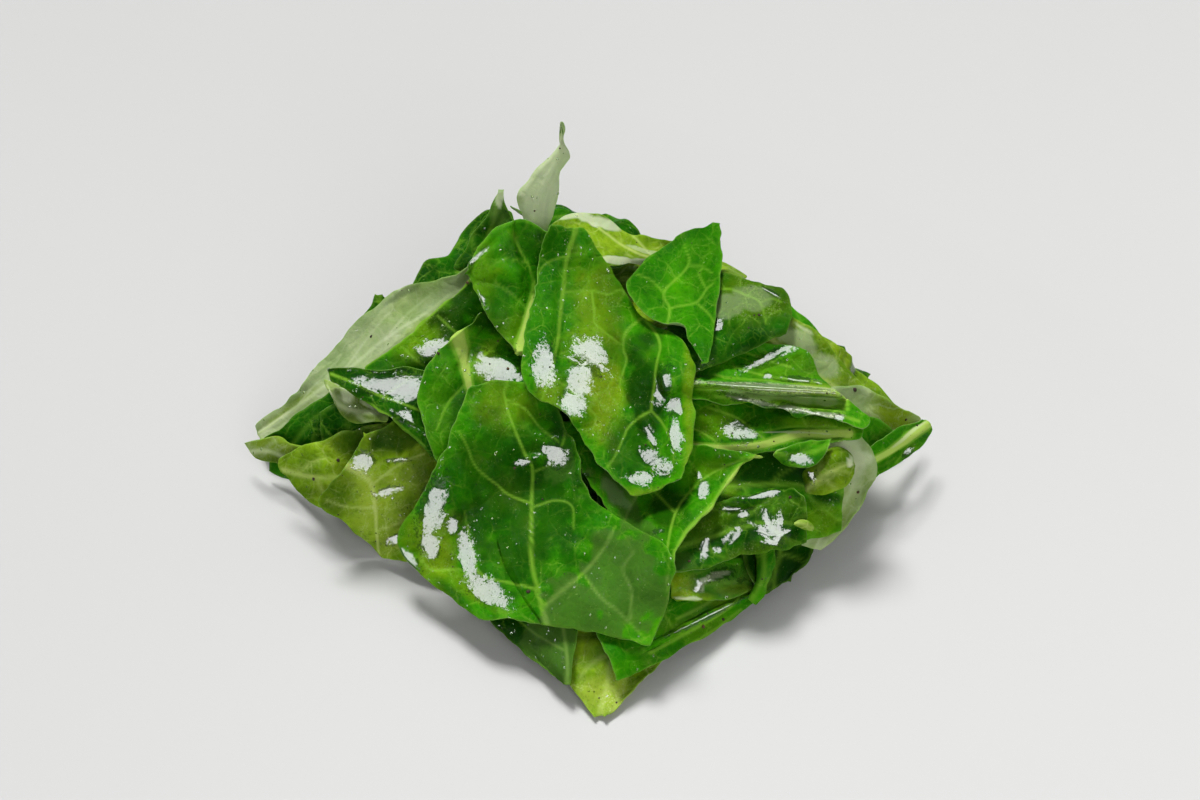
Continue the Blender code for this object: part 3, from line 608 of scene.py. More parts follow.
def patch(corners, cells):
    """Places on the table of a grid between four corners, which go round it."""
    s = np.linspace(0, 1, cells[0] + 1)[:, None, None]
    t = np.linspace(0, 1, cells[1] + 1)[None, :, None]
    a, b, c, d = (np.array(corner, float) for corner in corners)
    return (1 - s) * (1 - t) * a + s * (1 - t) * b + s * t * c + (1 - s) * t * d


def table_blade(name, plan, height):
    """A blade given by its heights over places on the table."""
    cells = (plan.shape[0] - 1, plan.shape[1] - 1)
    points = np.dstack([plan, height]).reshape(-1, 3)
    normal = normals(points, facets(*plan.shape[:2]), UP)
    return Blade(name, cells, points, np.full(len(points), BLADE), normal)


def bottom_blade():
    """The piece that the heap's weight presses flat on the table, which the heap rests on."""
    piece = Piece("bottom_leaf", [(-14, -46), (-34, -30), (-46, -4), (-40, 20), (-20, 40)],
                  [(12, -48), (32, -34), (46, -6), (36, 22), (10, 42)], bows=(4, 3))
    plan = drawing(piece, 6, 6)[0]
    return table_blade(piece.name, plan, np.full(plan.shape[:2], BLADE / 2))


def inner_blades():
    """Crumpled pieces inside the heap, in layers of its own shape."""
    layers = [
        (0.60, [(-1, -1, 1, 1)]),
        (0.78, [(-1, -1, 1, -0.02), (-1, 0.02, 1, 1)]),
        (0.94, [(-1, -1, -0.02, -0.02), (0.02, -1, 1, -0.02), (0.02, 0.02, 1, 1), (-1, 0.02, -0.02, 1)]),
    ]
    blades = []
    for scale, parts in layers:
        for left, front, right, back in parts:
            name = f"inner_leaf_{len(blades) + 1}"
            square = patch([(left, front), (right, front), (right, back), (left, back)], (6, 6))
            blades.append(inner_blade(name, scale, square))
    return blades


def inner_blade(name, scale, square):
    """One patch of a layer. The square of shares is drawn in to the layer's own rounded corners."""
    reach = np.where(square[..., 1] > 0, REACH_BACK, REACH_FRONT)
    largest = np.abs(square).max(axis=-1)
    norm = (np.abs(square) ** CORNERS).sum(axis=-1) ** (1 / CORNERS)
    share = scale * INNER_REACH * np.divide(largest, norm, out=np.zeros_like(norm), where=norm > 0)
    x = CROWN[0] + square[..., 0] * share * REACH_SIDE
    y = CROWN[1] + square[..., 1] * share * reach
    draw = random.Random(name)
    phase = draw.uniform(0, math.tau)
    dent = 0.05 * (1 + np.sin(x / 6 + phase) * np.cos(y / 7))
    height = mound(x, y, scale) * (1 - dent) - BLADE
    lowest = BLADE * 1.5 + 2 * GAP + LAYER_STEP * (scale - 0.4)
    return table_blade(name, np.stack([x, y], -1), np.maximum(height, lowest))


def heap():
    """Every solid blade of the heap in its place, from the bottom up."""
    pieces = side_pieces() + FRONT_PIECES + SCRAPS
    sights = {piece.sight: Sight(*piece.sight) for piece in pieces}
    blades = [bottom_blade()]
    stamp(blades[0], sights)
    for sight in sights.values():
        sight.stamp(mound_points())
    blades += inner_blades()
    for piece in pieces:
        blades.append(laid(piece, sights))
        stamp(blades[-1], sights)
    return blades


# Drawn veins of the leaves that show best: width at the start and the end, how far they stand out at
# the start, and the places that they run through
VEINS = {
    "crown_leaf": [
        (1.5, 0.7, 0.25, [(-6.4, 45), (-9.2, 36.3), (-10.4, 22.8), (-11.2, 14.7), (-14.2, 3.2),
            (-15.5, 0)]),
        (0.6, 0.4, 0.1, [(-9.2, 37.6), (-12.7, 36.6), (-15.5, 34.8), (-18, 30)]),
        (0.5, 0.3, 0.05, [(-9.8, 28), (-2.2, 28.5), (1.9, 27.5), (6, 29)]),
        (0.5, 0.3, 0.05, [(-2.2, 28.2), (-1.6, 22.8), (-1.4, 19.7), (1.9, 17.2), (6.4, 14.2)]),
        (0.5, 0.3, 0.05, [(-13.4, 6), (-9.7, 3.9), (-6.7, 1.7), (-4.1, -1.3), (-1.6, -4.4),
            (-2.2, -7.9)]),
        (0.8, 0.5, 0.15, [(11.4, 22), (6.9, 17.7), (6.4, 13.2), (7.1, 10.2), (5, 3)]),
        (0.9, 0.6, 0.15, [(11.4, 22), (14.7, 17.2), (15.9, 13.7), (15.4, 10.2), (13.9, 0.2),
            (13.7, -2.9)]),
        (0.7, 0.3, 0.1, [(13.7, -2.9), (16.9, -6.9), (19.2, -12.4), (19.5, -18)]),
        (0.7, 0.3, 0.1, [(13.7, -2.9), (7.9, -6.9), (6.4, -9.4), (4.1, -14.6), (1.9, -17.9)]),
    ],
    "veined_leaf": [
        (0.8, 0.4, 0.15, [(17.4, 18.4), (18.2, 23.8), (16.9, 28.3), (23.2, 35.3), (22, 40.3)]),
        (0.5, 0.3, 0.1, [(16.9, 28.3), (12.9, 31.1), (9.5, 32.4)]),
        (0.6, 0.3, 0.1, [(18.2, 23.8), (25.2, 25.3), (28, 28.8), (29.6, 30.4)]),
        (0.5, 0.3, 0.05, [(25.2, 25.3), (28.5, 22.5), (30, 20.2)]),
        (0.5, 0.3, 0.05, [(23.2, 35.3), (27, 34.8), (29.5, 33.3)]),
        (0.5, 0.3, 0.05, [(28, 28.8), (26, 33), (27, 34.8)]),
    ],
    "stem_leaf": [
        (4.2, 0.9, 1.3, [(-21.5, 11.5), (-19.8, 18), (-18.3, 25.5), (-17.8, 31)]),
        (0.7, 0.4, 0.1, [(-17.4, 29), (-18.7, 34.3), (-21.2, 39.8), (-23, 45.4)]),
        (0.5, 0.3, 0.1, [(-18.5, 22), (-23, 27), (-28, 31)]),
        (0.5, 0.3, 0.1, [(-19.2, 36), (-25, 37), (-30, 35)]),
    ],
    "front_leaf": [
        (1.5, 0.6, 0.2, [(-13.4, -61), (-16, -51.4), (-17.7, -42.3), (-18, -27.3), (-17.7, -18.2),
            (-20, -13.7), (-23.5, -5.2), (-25.3, 2)]),
        (0.7, 0.3, 0.1, [(-25, 0.3), (-20, -2.2), (-15.5, -7.7), (-11, -11)]),
        (0.9, 0.4, 0.15, [(-18, -27.3), (-24, -24.8), (-27, -22.3), (-32.5, -17.7), (-35, -12.2),
            (-37, -8.2)]),
        (1, 0.4, 0.15, [(-16.5, -49.9), (-20, -48.9), (-31, -45.9), (-33.5, -38.8), (-35.5, -29.3)]),
        (0.7, 0.3, 0.1, [(-36.5, -44.4), (-45.6, -43.9), (-47.6, -32.3)]),
        (1.3, 0.6, 0.2, [(-14.2, -54), (-4.4, -45.4), (1.1, -38.8), (4.1, -33.3)]),
        (0.8, 0.4, 0.1, [(-4.4, -45.4), (0.1, -51.9), (5.1, -55.9), (12.2, -62.9)]),
        (0.6, 0.3, 0.1, [(7.9, -57.5), (8.2, -49.9), (6.1, -44.4), (9.2, -39.8)]),
        (0.5, 0.3, 0.05, [(18.2, -52), (18, -46), (18.7, -41.3)]),
        (0.6, 0.3, 0.1, [(-17.8, -28.3), (-12, -26.5), (-7.4, -27.8), (-6.9, -33.8)]),
        (0.6, 0.3, 0.1, [(-17.7, -19), (-12, -16), (-9, -9)]),
    ],
    "left_stem_leaf": [
        (5.2, 1.2, 1.2, [(-38.3, 17.5), (-36.3, 11), (-34.6, 4), (-33.2, -2)]),
        (0.8, 0.4, 0.1, [(-33.2, -2), (-32.5, -8), (-32, -14)]),
        (0.8, 0.4, 0.1, [(-36.8, 8), (-31, 11), (-25, 17)]),
        (0.7, 0.4, 0.1, [(-35.6, 4), (-40, -1), (-43, -8)]),
        (0.6, 0.3, 0.1, [(-34, -2), (-27, 2), (-20, 4)]),
    ],
    "left_front_leaf": [
        (1.6, 0.8, 0.4, [(-66, -17), (-60.5, -21), (-59, -28), (-58, -42)]),
        (0.6, 0.3, 0.1, [(-60, -22), (-53, -17), (-46, -14)]),
        (0.6, 0.3, 0.1, [(-59, -28), (-66, -28), (-72, -26)]),
        (0.5, 0.3, 0.1, [(-58.6, -34), (-50, -31), (-44, -28)]),
    ],
    "ribbed_upper_leaf": [
        (2.2, 1.4, 0.3, [(64.5, 0.4), (60.7, 1.8), (47.9, 2.5), (36, 3.3), (22, 4.2)]),
        # Three wide lines under the rib: partly veins, partly painted light on the band below the rib that
        # faces away from the lamps
        (1.25, 1.2, 0.05, [(65, -1.4), (58, -0.2), (48, 0.7), (36, 2), (26, 3)]),
        (1.25, 1.2, 0.05, [(65, -2.6), (58, -1.4), (48, -0.5), (38, 0.8)]),
        (1.2, 1, 0.05, [(64, -3.6), (56, -2.6), (46, -1.6)]),
        (0.9, 0.5, 0.3, [(58, 4.6), (46, 5.6), (35, 8.5)]),
        (0.7, 0.4, 0.2, [(50, 8.5), (42, 11), (36, 13)]),
        (1.2, 0.7, 0.3, [(68, -5.6), (60, -3.8), (52, -2.4), (44, -0.9), (36, 0.6), (30, 1.4)]),
        (0.6, 0.4, 0.1, [(62, 3.6), (52, 4.2), (42, 4.8), (30, 6.4)]),
    ],
    "ribbed_lower_leaf": [
        (2.6, 1.9, 0.5, [(65.5, -9), (53.3, -9.3), (47, -10.6), (41.5, -11.9), (33, -12.6), (25.4, -12.4),
            (16, -11)]),
        (0.9, 0.5, 0.3, [(54.9, -8.4), (52.2, -3.9), (45.8, -0.6), (38.1, 0.4), (30, 1.5)]),
        (0.8, 0.5, 0.2, [(44, -11), (36, -5), (28, -2)]),
        (0.7, 0.4, 0.2, [(32, -12.2), (26, -8), (20, -6)]),
        (0.6, 0.4, 0.1, [(62, -7.4), (52, -7.2), (42, -8.6)]),
    ],
    "right_back_leaf": [
        (0.5, 0.4, 0.1, [(31, 29.3), (35, 28.8), (38.5, 27.5), (42, 25.3), (43.6, 19.8)]),
        (0.3, 0.3, 0.05, [(42, 25.3), (45, 26.5), (47.5, 25.5)]),
    ],
    "left_rim_leaf": [
        (0.9, 0.8, 0.3, [(-61.8, 8.6), (-52, 15.5), (-42, 24.5), (-34, 31.5), (-28, 40)]),
        (0.6, 0.3, 0.1, [(-52, 14), (-46, 9), (-40, 7)]),
        (0.6, 0.3, 0.1, [(-43, 22), (-37, 17), (-31, 16)]),
    ],
    "left_folded_leaf": [
        (1, 0.7, 0.4, [(-70.5, 6.6), (-64, 4), (-57, 0.8), (-50, -1.8), (-44, -4)]),
        (0.6, 0.4, 0.2, [(-60, -1), (-53, -6), (-46, -12)]),
        (0.5, 0.3, 0.1, [(-57, 1), (-52, 4), (-48, 7)]),
    ],
    "right_end_leaf": [
        (2.4, 2, 0.6, [(85.9, -6.4), (82.5, -8.6), (78, -11.6), (73, -15), (66, -19.5)]),
        (0.5, 0.3, 0.1, [(82.5, -8.4), (80, -13), (77.5, -16.5)]),
    ],
    "front_low_leaf": [
        (1.2, 0.8, 0.3, [(-8.5, -76), (-8.8, -66), (-11, -54), (-16, -40)]),
        (0.6, 0.3, 0.1, [(-8.8, -66), (-16, -62), (-24, -56)]),
    ],
    "back_leaf": [
        (1.1, 0.5, 0.2, [(24, 36.5), (14, 37.2), (6, 40.5), (-2, 46)]),
        (0.6, 0.3, 0.1, [(14, 37.2), (9, 43), (7, 45.5)]),
    ],
    "upright_leaf": [
        (0.8, 0.4, 0.2, [(-16, 40), (-17.5, 47), (-16.5, 54), (-12.4, 62), (-9.6, 69)]),
        (0.6, 0.3, 0.1, [(-14, 41), (-15, 48), (-14, 54), (-10.6, 61)]),
        (0.5, 0.3, 0.1, [(-18, 40), (-19.6, 48), (-18.6, 54), (-14, 61)]),
    ],
    "left_pale_leaf": [
        (1.6, 0.8, 0.4, [(-90, -9.5), (-80, -2.5), (-70, 5), (-60, 13), (-50, 20), (-40, 27)]),
        (0.6, 0.3, 0.1, [(-80, -2.5), (-74, 5), (-68, 12)]),
        (0.6, 0.3, 0.1, [(-68, 7), (-62, 15), (-55, 23)]),
        (0.6, 0.3, 0.1, [(-56, 16), (-50, 23), (-44, 28)]),
        (0.6, 0.3, 0.1, [(-74, 1), (-66, 3), (-58, 8)]),
    ],
    "right_low_leaf": [
        (1.3, 0.8, 0.5, [(13, -66.5), (22, -61.5), (30, -57), (37, -51.5), (41, -47)]),
        (1, 0.7, 0.4, [(20, -57.5), (28, -53.5), (35, -48.5), (40, -44)]),
        (0.8, 0.6, 0.3, [(24, -64), (31, -59.5), (37, -55)]),
        (0.6, 0.3, 0.1, [(19, -60), (16, -54), (18, -47)]),
    ],
    "centre_low_leaf": [
        (2, 1.4, 0.5, [(42.5, -14.6), (38, -17.2), (34.4, -21), (31.2, -26), (26.8, -31), (22.6, -35.6),
            (18.4, -44)]),
        (0.9, 0.5, 0.15, [(17, -44), (20, -30), (27, -21), (38, -15)]),
        (0.7, 0.4, 0.1, [(20, -30), (12, -22), (3, -17)]),
        (0.6, 0.3, 0.1, [(27, -21), (22, -14), (16, -9)]),
        (0.6, 0.3, 0.1, [(12, -22), (8, -28), (6, -34)]),
    ],
}

# Wet places that shine, in the drawing: their middle, their reach both ways, and perhaps a turn
GLINTS = {
    "crown_leaf": [(-14.6, 9, 3, 5.4), (-3.2, 10.8, 4.4, 5.2, 20), (-5.5, 4.5, 3, 4),
        (-7.6, -1.2, 3, 3.2, -30), (16.6, 4, 1.8, 5.2, -14), (19.6, -2, 2, 2.6),
        (19.7, -9.6, 1.7, 4.2, 4), (13.4, -9.5, 0.9, 3.6, 25), (13.6, -15.2, 3.2, 1.8, -25),
        (17, -18.2, 2.4, 2.4), (10.6, -20.8, 3.6, 1.5, 3)],
    "left_stem_leaf": [(-25.5, 8, 7.4, 4, -22)],
    "front_leaf": [(-44, -28, 3.4, 8.5, -14), (-44.6, -38, 2.6, 3.6), (-50.3, -41.5, 3.8, 1.6, -42),
        (-34.6, -41, 2.2, 6.5, 12), (-29.5, -50.5, 5.6, 3, -32), (-12, -14, 3.8, 3.2, -20),
        (-20, -16.2, 2.8, 1, 10), (-38.6, -33.2, 1.5, 2.4)],
    "left_folded_leaf": [(-56, 3.8, 9.5, 2.6, -8), (-51, 3, 5, 4.2), (-49.5, -5.2, 4.8, 1.5, -24)],
    "left_rim_leaf": [(-44, 13.5, 3.6, 2.2, 25)],
    "left_front_leaf": [(-62, -16, 2.8, 2.4), (-53, -15.7, 3.2, 0.6), (-56, -23.8, 3.6, 1, 14),
        (-53, -36.5, 3.2, 1.4, 20), (-45.6, -26, 1.2, 3.2)],
    "ribbed_upper_leaf": [(45, 11.4, 8.5, 1.4, 25), (44, 3.2, 20, 0.8, -4), (36, 0.8, 4.4, 0.9, -14),
        (43, -1, 3.2, 0.7, -14), (50, -2.4, 3.6, 0.9, -10), (58, -3.6, 4.4, 0.9, -6),
        (62.5, -4.4, 1.4, 1.2, -3), (52, 5.3, 5, 0.8, -8), (44, 6.2, 1.2, 0.8)],
    "ribbed_lower_leaf": [(37, -8.4, 4.6, 2.6, -16)],
    "flap_scrap": [(52.6, -15.6, 3.2, 1.4, -5)],
    "right_dark_leaf": [(43, -25, 5.6, 1, 12), (44.4, -33, 1.2, 5, 18), (46.4, -34, 1.1, 4.8, -14),
        (42.8, -35, 0.8, 3.4, 48), (48, -35.5, 0.7, 3, -58), (45, -37.6, 2.8, 0.9, 5),
        (36, -35.2, 1.3, 3.2, -28), (27.4, -38.8, 0.9, 3, -10), (34.6, -28.6, 2.2, 1),
        (38, -30.4, 1.6, 0.8), (31, -39.5, 1.6, 0.9, 30), (33, -36.5, 0.6, 2.2, -40)],
    "right_rolled_leaf": [(56, -20.6, 0.9, 1.8, 20)],
    "centre_low_leaf": [(27, -24, 1.8, 2.4), (-6, -16.5, 0.9, 1.8), (-4, -20.4, 1.4, 0.6),
        (25.8, -20, 0.8, 1.2), (15.5, -34.5, 1.6, 0.6)],
    "right_film_leaf": [(31.5, -46, 4.2, 1.6, 15), (26, -49, 0.9, 1.8, -20), (37, -47.4, 1.6, 0.8, 10)],
    "right_low_leaf": [(22, -52, 3.4, 0.6), (29, -56.4, 10, 0.5, 27)],
    "right_end_leaf": [(80.6, -14.2, 1.2, 2, -30)],
    "right_grey_leaf": [(63.4, -1.4, 1.4, 1.2)],
    "stem_leaf": [(-33, 37, 5, 0.5, 42), (-31, 26.5, 0.5, 2.2, 25)],
    "right_back_leaf": [(31.3, 19.6, 1.2, 1.8), (44.5, 28.6, 3.2, 0.4, -30)],
}

# Spots on drawn leaves, by what they show: strength, middle, reach both ways, and perhaps a turn
# Deep spots are partly painted shade, and pale spots are partly painted highlights and painted light
SPOTS = {
    "crown_leaf": {
        "olive": [(0.6, -1, 22, 7, 16), (0.9, 0, 3, 6, 12), (0.6, 23.5, -4, 1.6, 20),
            (0.5, 12, -25, 9, 1.6), (0.6, -13, 2, 3, 4)],
        "deep": [(0.95, 12, 3, 4.5, 15), (0.75, 8, -13, 6, 7), (0.3, -13, 40, 5, 6),
            (0.45, 3, 27, 4, 8, 20), (0.4, 2, 12, 3, 5)],
    },
    "veined_leaf": {
        "deep": [(0.4, 27, 36, 5, 12), (0.3, 10, 30, 4, 5)],
    },
    "front_leaf": {
        "film": [(1, 6, -47, 12, 15), (1, -6, -54, 9, 8), (0.6, -10, -18, 4, 4)],
        "olive": [(0.8, -44, -40, 6, 10), (0.5, -26, -2, 7, 6), (0.25, -24, -24, 4, 5),
            (0.5, -34, -49, 8, 3, -30)],
        # Deep spots: partly the leaf's darker green, partly painted shade over its shadowed middle
        "deep": [(0.65, -30, -16, 8, 12), (0.8, -19, -28, 17, 20), (0.6, -24, -38, 8, 9),
            (0.9, -8, -8, 6, 8), (0.5, -40, -50, 8, 1.6, -42)],
    },
    "left_stem_leaf": {
        "olive": [(0.15, -42, -3, 4, 12), (0.6, -30, 9, 3, 5)],
        "deep": [(0.9, -30, -6, 10, 10), (1, -32, 22, 7, 4)],
    },
    "ribbed_upper_leaf": {
        # Pale streaks below the rib are painted highlights; the wide pale and olive spots along the rib and
        # the band under it are painted light
        "pale": [(0.8, 40, -0.3, 7, 0.5, -14), (0.8, 50.5, -2.7, 4.4, 0.7, -8),
            (0.8, 60, -4.2, 4.6, 0.7, -3), (0.6, 42, 3.8, 24, 0.4, -3), (0.3, 48, 0.8, 16, 1.6, -5)],
        "olive": [(1, 58, 2.4, 7, 1.6, -6), (0.2, 48, 8, 8, 4), (0.7, 48, 0.6, 17, 2.2, -5)],
    },
    "ribbed_lower_leaf": {
        "deep": [(0.35, 45, -3.5, 16, 1.2), (0.4, 43, -5.6, 7, 1.6)],
        "olive": [(0.35, 31, -6, 6, 4), (0.5, 55, -6.6, 8, 1.4, -4)],
        "pale": [(0.5, 52, -8.9, 9, 0.3, -2)],
    },
    "right_back_leaf": {
        "olive": [(1, 39, 26, 12, 6)],
        "pale": [(0.18, 33, 24, 4, 3.4), (0.16, 40, 26.5, 5, 3)],
        "deep": [(0.4, 34, 11, 8, 3), (0.4, 48, 27, 4, 3)],
    },
    "stem_leaf": {
        "olive": [(0.3, -31, 34, 3, 8), (0.3, -22, 18, 4, 6)],
        "deep": [(0.6, -20, 40, 5, 4), (0.5, -27, 24, 3, 8, -20), (0.5, -15, 22, 2.4, 8)],
    },
    "left_rim_leaf": {
        "olive": [(0.5, -46, 17, 10, 5, 45)],
        "deep": [(0.6, -54, 9, 8, 3), (1, -39, 20, 4.4, 6, 50), (1, -35, 26, 6, 5, 50),
            (0.9, -42, 9, 6, 4)],
    },
    "left_folded_leaf": {
        "deep": [(0.8, -60, 2.4, 9, 1.2), (0.5, -54, -3, 8, 2.4)],
    },
    "left_front_leaf": {
        # The first deep spot is painted shadow under the folded leaf's edge
        "deep": [(1, -52, -9, 9, 5), (0.55, -69, -25, 5, 5, -45), (0.6, -46, -15, 6, 6),
            (0.5, -44, -34, 4, 7)],
        "olive": [(0.35, -59, -30, 8, 10), (0.6, -61, -27, 3.5, 9), (0.3, -51, -21, 7, 4)],
    },
    "left_yellow_leaf": {
        "deep": [(0.4, -77, -24, 8, 2), (0.8, -63, -10, 7, 5)],
    },
    "right_dark_leaf": {
        "olive": [(0.8, 30, -32, 8, 4, 20), (0.8, 42, -39, 9, 1.8, 15), (0.5, 47, -28, 7, 3, 10)],
        "film": [(0.7, 20, -43, 4, 2.4), (0.8, 26, -30.6, 4, 1.6, 18)],
        "deep": [(0.7, 39, -31, 5, 2, 20), (0.9, 39.6, -36.4, 1.4, 3.4, -20), (0.8, 31, -36, 2.4, 2.4),
            (0.8, 50.5, -35, 2.4, 2.4)],
    },
    "right_rolled_leaf": {
        "deep": [(0.35, 59, -19, 8, 6), (0.6, 54.5, -20, 2, 5), (0.6, 60, -14.2, 5, 1, 20),
            (0.5, 58, -18.6, 5, 0.7, 24), (0.5, 62, -20.4, 4, 0.6, 30)],
        "pale": [(0.8, 65.8, -16, 0.9, 2, -30)],
    },
    "centre_low_leaf": {
        "deep": [(0.45, 5, -17, 9, 6), (0.9, 18, -30, 5, 6)],
        "film": [(1, 4, -23, 7, 4, -40), (0.8, 11, -34, 7, 3.5, -40)],
        "olive": [(0.3, 29, -18, 6, 3, 30)],
        "pale": [(0.12, 3, -24, 5, 2, -40)],
    },
    "front_low_leaf": {
        "film": [(1, -12, -64, 7, 14)],
        # Painted shadow on its left part
        "deep": [(0.8, -24, -58, 8, 8)],
    },
    "front_tip_leaf": {
        "film": [(0.5, 2, -68, 8, 5)],
        "olive": [(0.7, 3, -77, 8, 5)],
        "deep": [(0.8, 2, -62, 10, 2)],
    },
    "right_low_leaf": {
        # Its olive and pale spots are partly painted light on a face the lamps leave dark
        "film": [(0.6, 8, -58, 5, 5), (0.4, 27, -55.5, 8, 2, 25)],
        "olive": [(0.35, 9, -60, 6, 3), (0.25, 24, -60, 14, 3), (0.9, 34, -50, 7, 2.6, 30)],
        "pale": [(0.35, 34, -50.4, 5, 1.2, 30)],
    },
    "right_film_leaf": {
        "film": [(0.6, 34, -48, 10, 5)],
        "olive": [(1, 21, -49.5, 3.8, 3.8), (0.8, 26, -52, 4, 1.4), (0.7, 36, -49.8, 5, 1.4)],
        # Painted highlights where its glints don't mirror a lamp
        "pale": [(0.9, 30.5, -46.2, 3.6, 0.8, 18), (0.8, 26.6, -48.6, 0.8, 2, -20),
            (0.8, 23, -52.4, 3, 0.4)],
    },
    "right_under_leaf": {
        # Deep spots: partly its darker green, partly painted shade; the narrow one is the shadow along its
        # upper edge
        "deep": [(1, 48, -19, 14, 6.5), (1, 40, -21, 6, 4), (0.9, 59, -25.6, 5, 1.6)],
        "olive": [(0.5, 34, -22, 2.4, 6), (0.4, 58, -31, 5, 5)],
    },
    "right_clear_leaf": {
        "olive": [(0.5, 62, -30, 6, 8), (0.4, 69.5, -23, 1.4, 5)],
        "film": [(0.2, 64, -27, 9, 10)],
        # Pale spots: partly its own pale film, partly painted light on a side turned from the lamps
        "pale": [(0.5, 58.5, -38.5, 1.6, 2), (0.8, 66, -15, 4, 5)],
    },
    # Painted shade over the whole visible leaf, for the dark gap it fills
    "right_deep_leaf": {
        "deep": [(1, 46, -44, 9, 8)],
    },
    "right_rim_leaf": {
        "film": [(0.4, 53, 17, 6.5, 3.2, -28), (0.4, 58.5, 9.5, 4.5, 2.8, -45)],
        "deep": [(0.3, 56.5, 12.6, 5, 1.4, -35), (0.4, 64, 4, 4, 3.4, -45), (0.7, 48, 21, 5, 3)],
        # Pale spots: partly its own grey film, partly painted light on a side turned from the lamps
        "pale": [(0.6, 53, 18.6, 3, 0.7, -35), (0.35, 52.5, 15.4, 5, 3, -28),
            (0.3, 59.5, 9, 4, 2.6, -45)],
    },
    "right_grey_leaf": {
        "film": [(0.7, 66, -3, 5, 9), (0.5, 70, 0.4, 9, 1.4, -18)],
        # Olive spot: partly its own olive, partly painted light on a side turned from the lamps
        "olive": [(1, 77, -4.5, 10, 7)],
    },
    "upright_leaf": {
        "olive": [(0.9, -8.4, 66, 1.8, 6, -14)],
        # The large pale spot is painted light on a face turned from the lamps, over its own pale underside
        "pale": [(0.75, -15.5, 54, 6, 15, -20)],
        "deep": [(0.4, -14.2, 50, 0.6, 6, -8), (0.4, -11.6, 60, 0.5, 5, -28), (0.5, -8.4, 67.5, 0.7, 3)],
    },
    "left_pale_leaf": {
        "film": [(0.5, -42, 29, 10, 4.5, 40), (0.22, -66, 10, 20, 7, 38), (0.5, -64, 19, 16, 2, 42),
            (0.5, -74, 6, 10, 1, 40), (0.45, -57, 11.4, 14, 0.7, 38), (0.45, -70, 0, 12, 1, 36)],
        "olive": [(0.5, -47, 19.5, 7, 1.4, 40), (0.7, -82, -3, 9, 1.4, 35), (0.35, -48, 27, 12, 3, 38)],
        "deep": [(0.6, -49, 29.5, 8, 0.9, 32)],
    },
    "left_curl_leaf": {
        "olive": [(0.8, -62, -2, 14, 9)],
        "deep": [(0.75, -61, -2.6, 8, 5, -20), (0.6, -68, -1, 2, 4, 20)],
        "pale": [(1, -66, 1.3, 2, 3, 20), (0.6, -61, -1.4, 3.4, 0.5, -30)],
    },
    "left_end_leaf": {
        "olive": [(0.9, -84, -14, 14, 9)],
        "deep": [(0.8, -80, -17, 12, 4)],
    },
    "back_leaf": {
        "pale": [(0.9, -8, 47.9, 7, 1.2), (0.9, -1, 46.4, 6, 1.3, -14), (0.8, 5, 36.4, 8, 0.9),
            (0.5, 13, 38.7, 6, 0.6, -18)],
        "deep": [(0.6, 21, 40, 5, 2)],
    },
    "right_end_leaf": {
        "deep": [(0.4, 80, -13.5, 7, 1.8, 35)],
        "pale": [(0.5, 80.5, -9.3, 7, 0.4, 35)],
    },
    "back_tip_leaf": {
        "film": [(0.9, -26.5, 51.5, 3, 5)],
        "pale": [(0.6, -26.4, 53, 1, 2.5)],
    },
}

# Width of the fading edge of each kind of spot, as a share of its reach
SOFT_EDGE = {"olive": 0.9, "deep": 0.7, "film": 0.15, "pale": 0.25}


def seed_of(name):
    return sum(map(ord, name))


def noise(x, y, seed):
    """Smooth noise from -1 to 1, with about one bump a unit."""
    cell_x, cell_y = np.floor(x).astype(np.int64), np.floor(y).astype(np.int64)
    s, t = x - cell_x, y - cell_y
    s, t = s * s * (3 - 2 * s), t * t * (3 - 2 * t)

    def corner(a, b):
        mixed = ((cell_x + a) * 374761393 + (cell_y + b) * 668265263 + seed * 974634777) & 0xFFFFFFFF
        mixed = ((mixed ^ (mixed >> 13)) * 1274126177) & 0xFFFFFFFF
        return ((mixed ^ (mixed >> 16)) & 0xFFFF) / 32767.5 - 1

    near = corner(0, 0) * (1 - s) + corner(1, 0) * s
    far = corner(0, 1) * (1 - s) + corner(1, 1) * s
    return near * (1 - t) + far * t


def noises(flat, *waves):
    """The sum of noises over drawn places, each given by its height, its width and its seed."""
    x, y = flat[..., 0], flat[..., 1]
    return sum(height * noise(x / width, y / width, seed) for height, width, seed in waves)


def grown_veins(piece):
    """Veins of a piece whose own aren't drawn: one along it, with branches that leave it by turns."""
    draw = random.Random(piece.name + " veins")
    start, end = piece.rib if piece.rib else (draw.uniform(0.25, 0.75), draw.uniform(0.3, 0.7))
    sway = draw.uniform(-0.08, 0.08)

    def spot(u, v):
        left, right = rail(piece.left, v), rail(piece.right, v)
        return left * (1 - u[:, None]) + right * u[:, None]

    def middle(v):
        return start + (end - start) * v + sway * np.sin(math.pi * v)

    v = np.linspace(0, 1, 6)
    width = 2.2 if piece.rib else draw.uniform(0.9, 1.5)
    lines = [(width, 0.5, width * 0.3, spot(middle(v), v))]
    count = max(3, round(piece.length() / 8))
    for k in range(count):
        side = 1 if k % 2 else -1
        root = (k + draw.uniform(0.2, 0.7)) / count
        reach = draw.uniform(0.3, 0.5) * side
        climb = draw.uniform(0.15, 0.32)
        share = np.linspace(0, 1, 5)
        u = np.clip(middle(root) + reach * share, 0, 1)
        v = np.clip(root + climb * share ** 1.4, 0, 1)
        lines.append((draw.uniform(0.5, 0.8), 0.3, 0.1, spot(u, v)))
    return lines


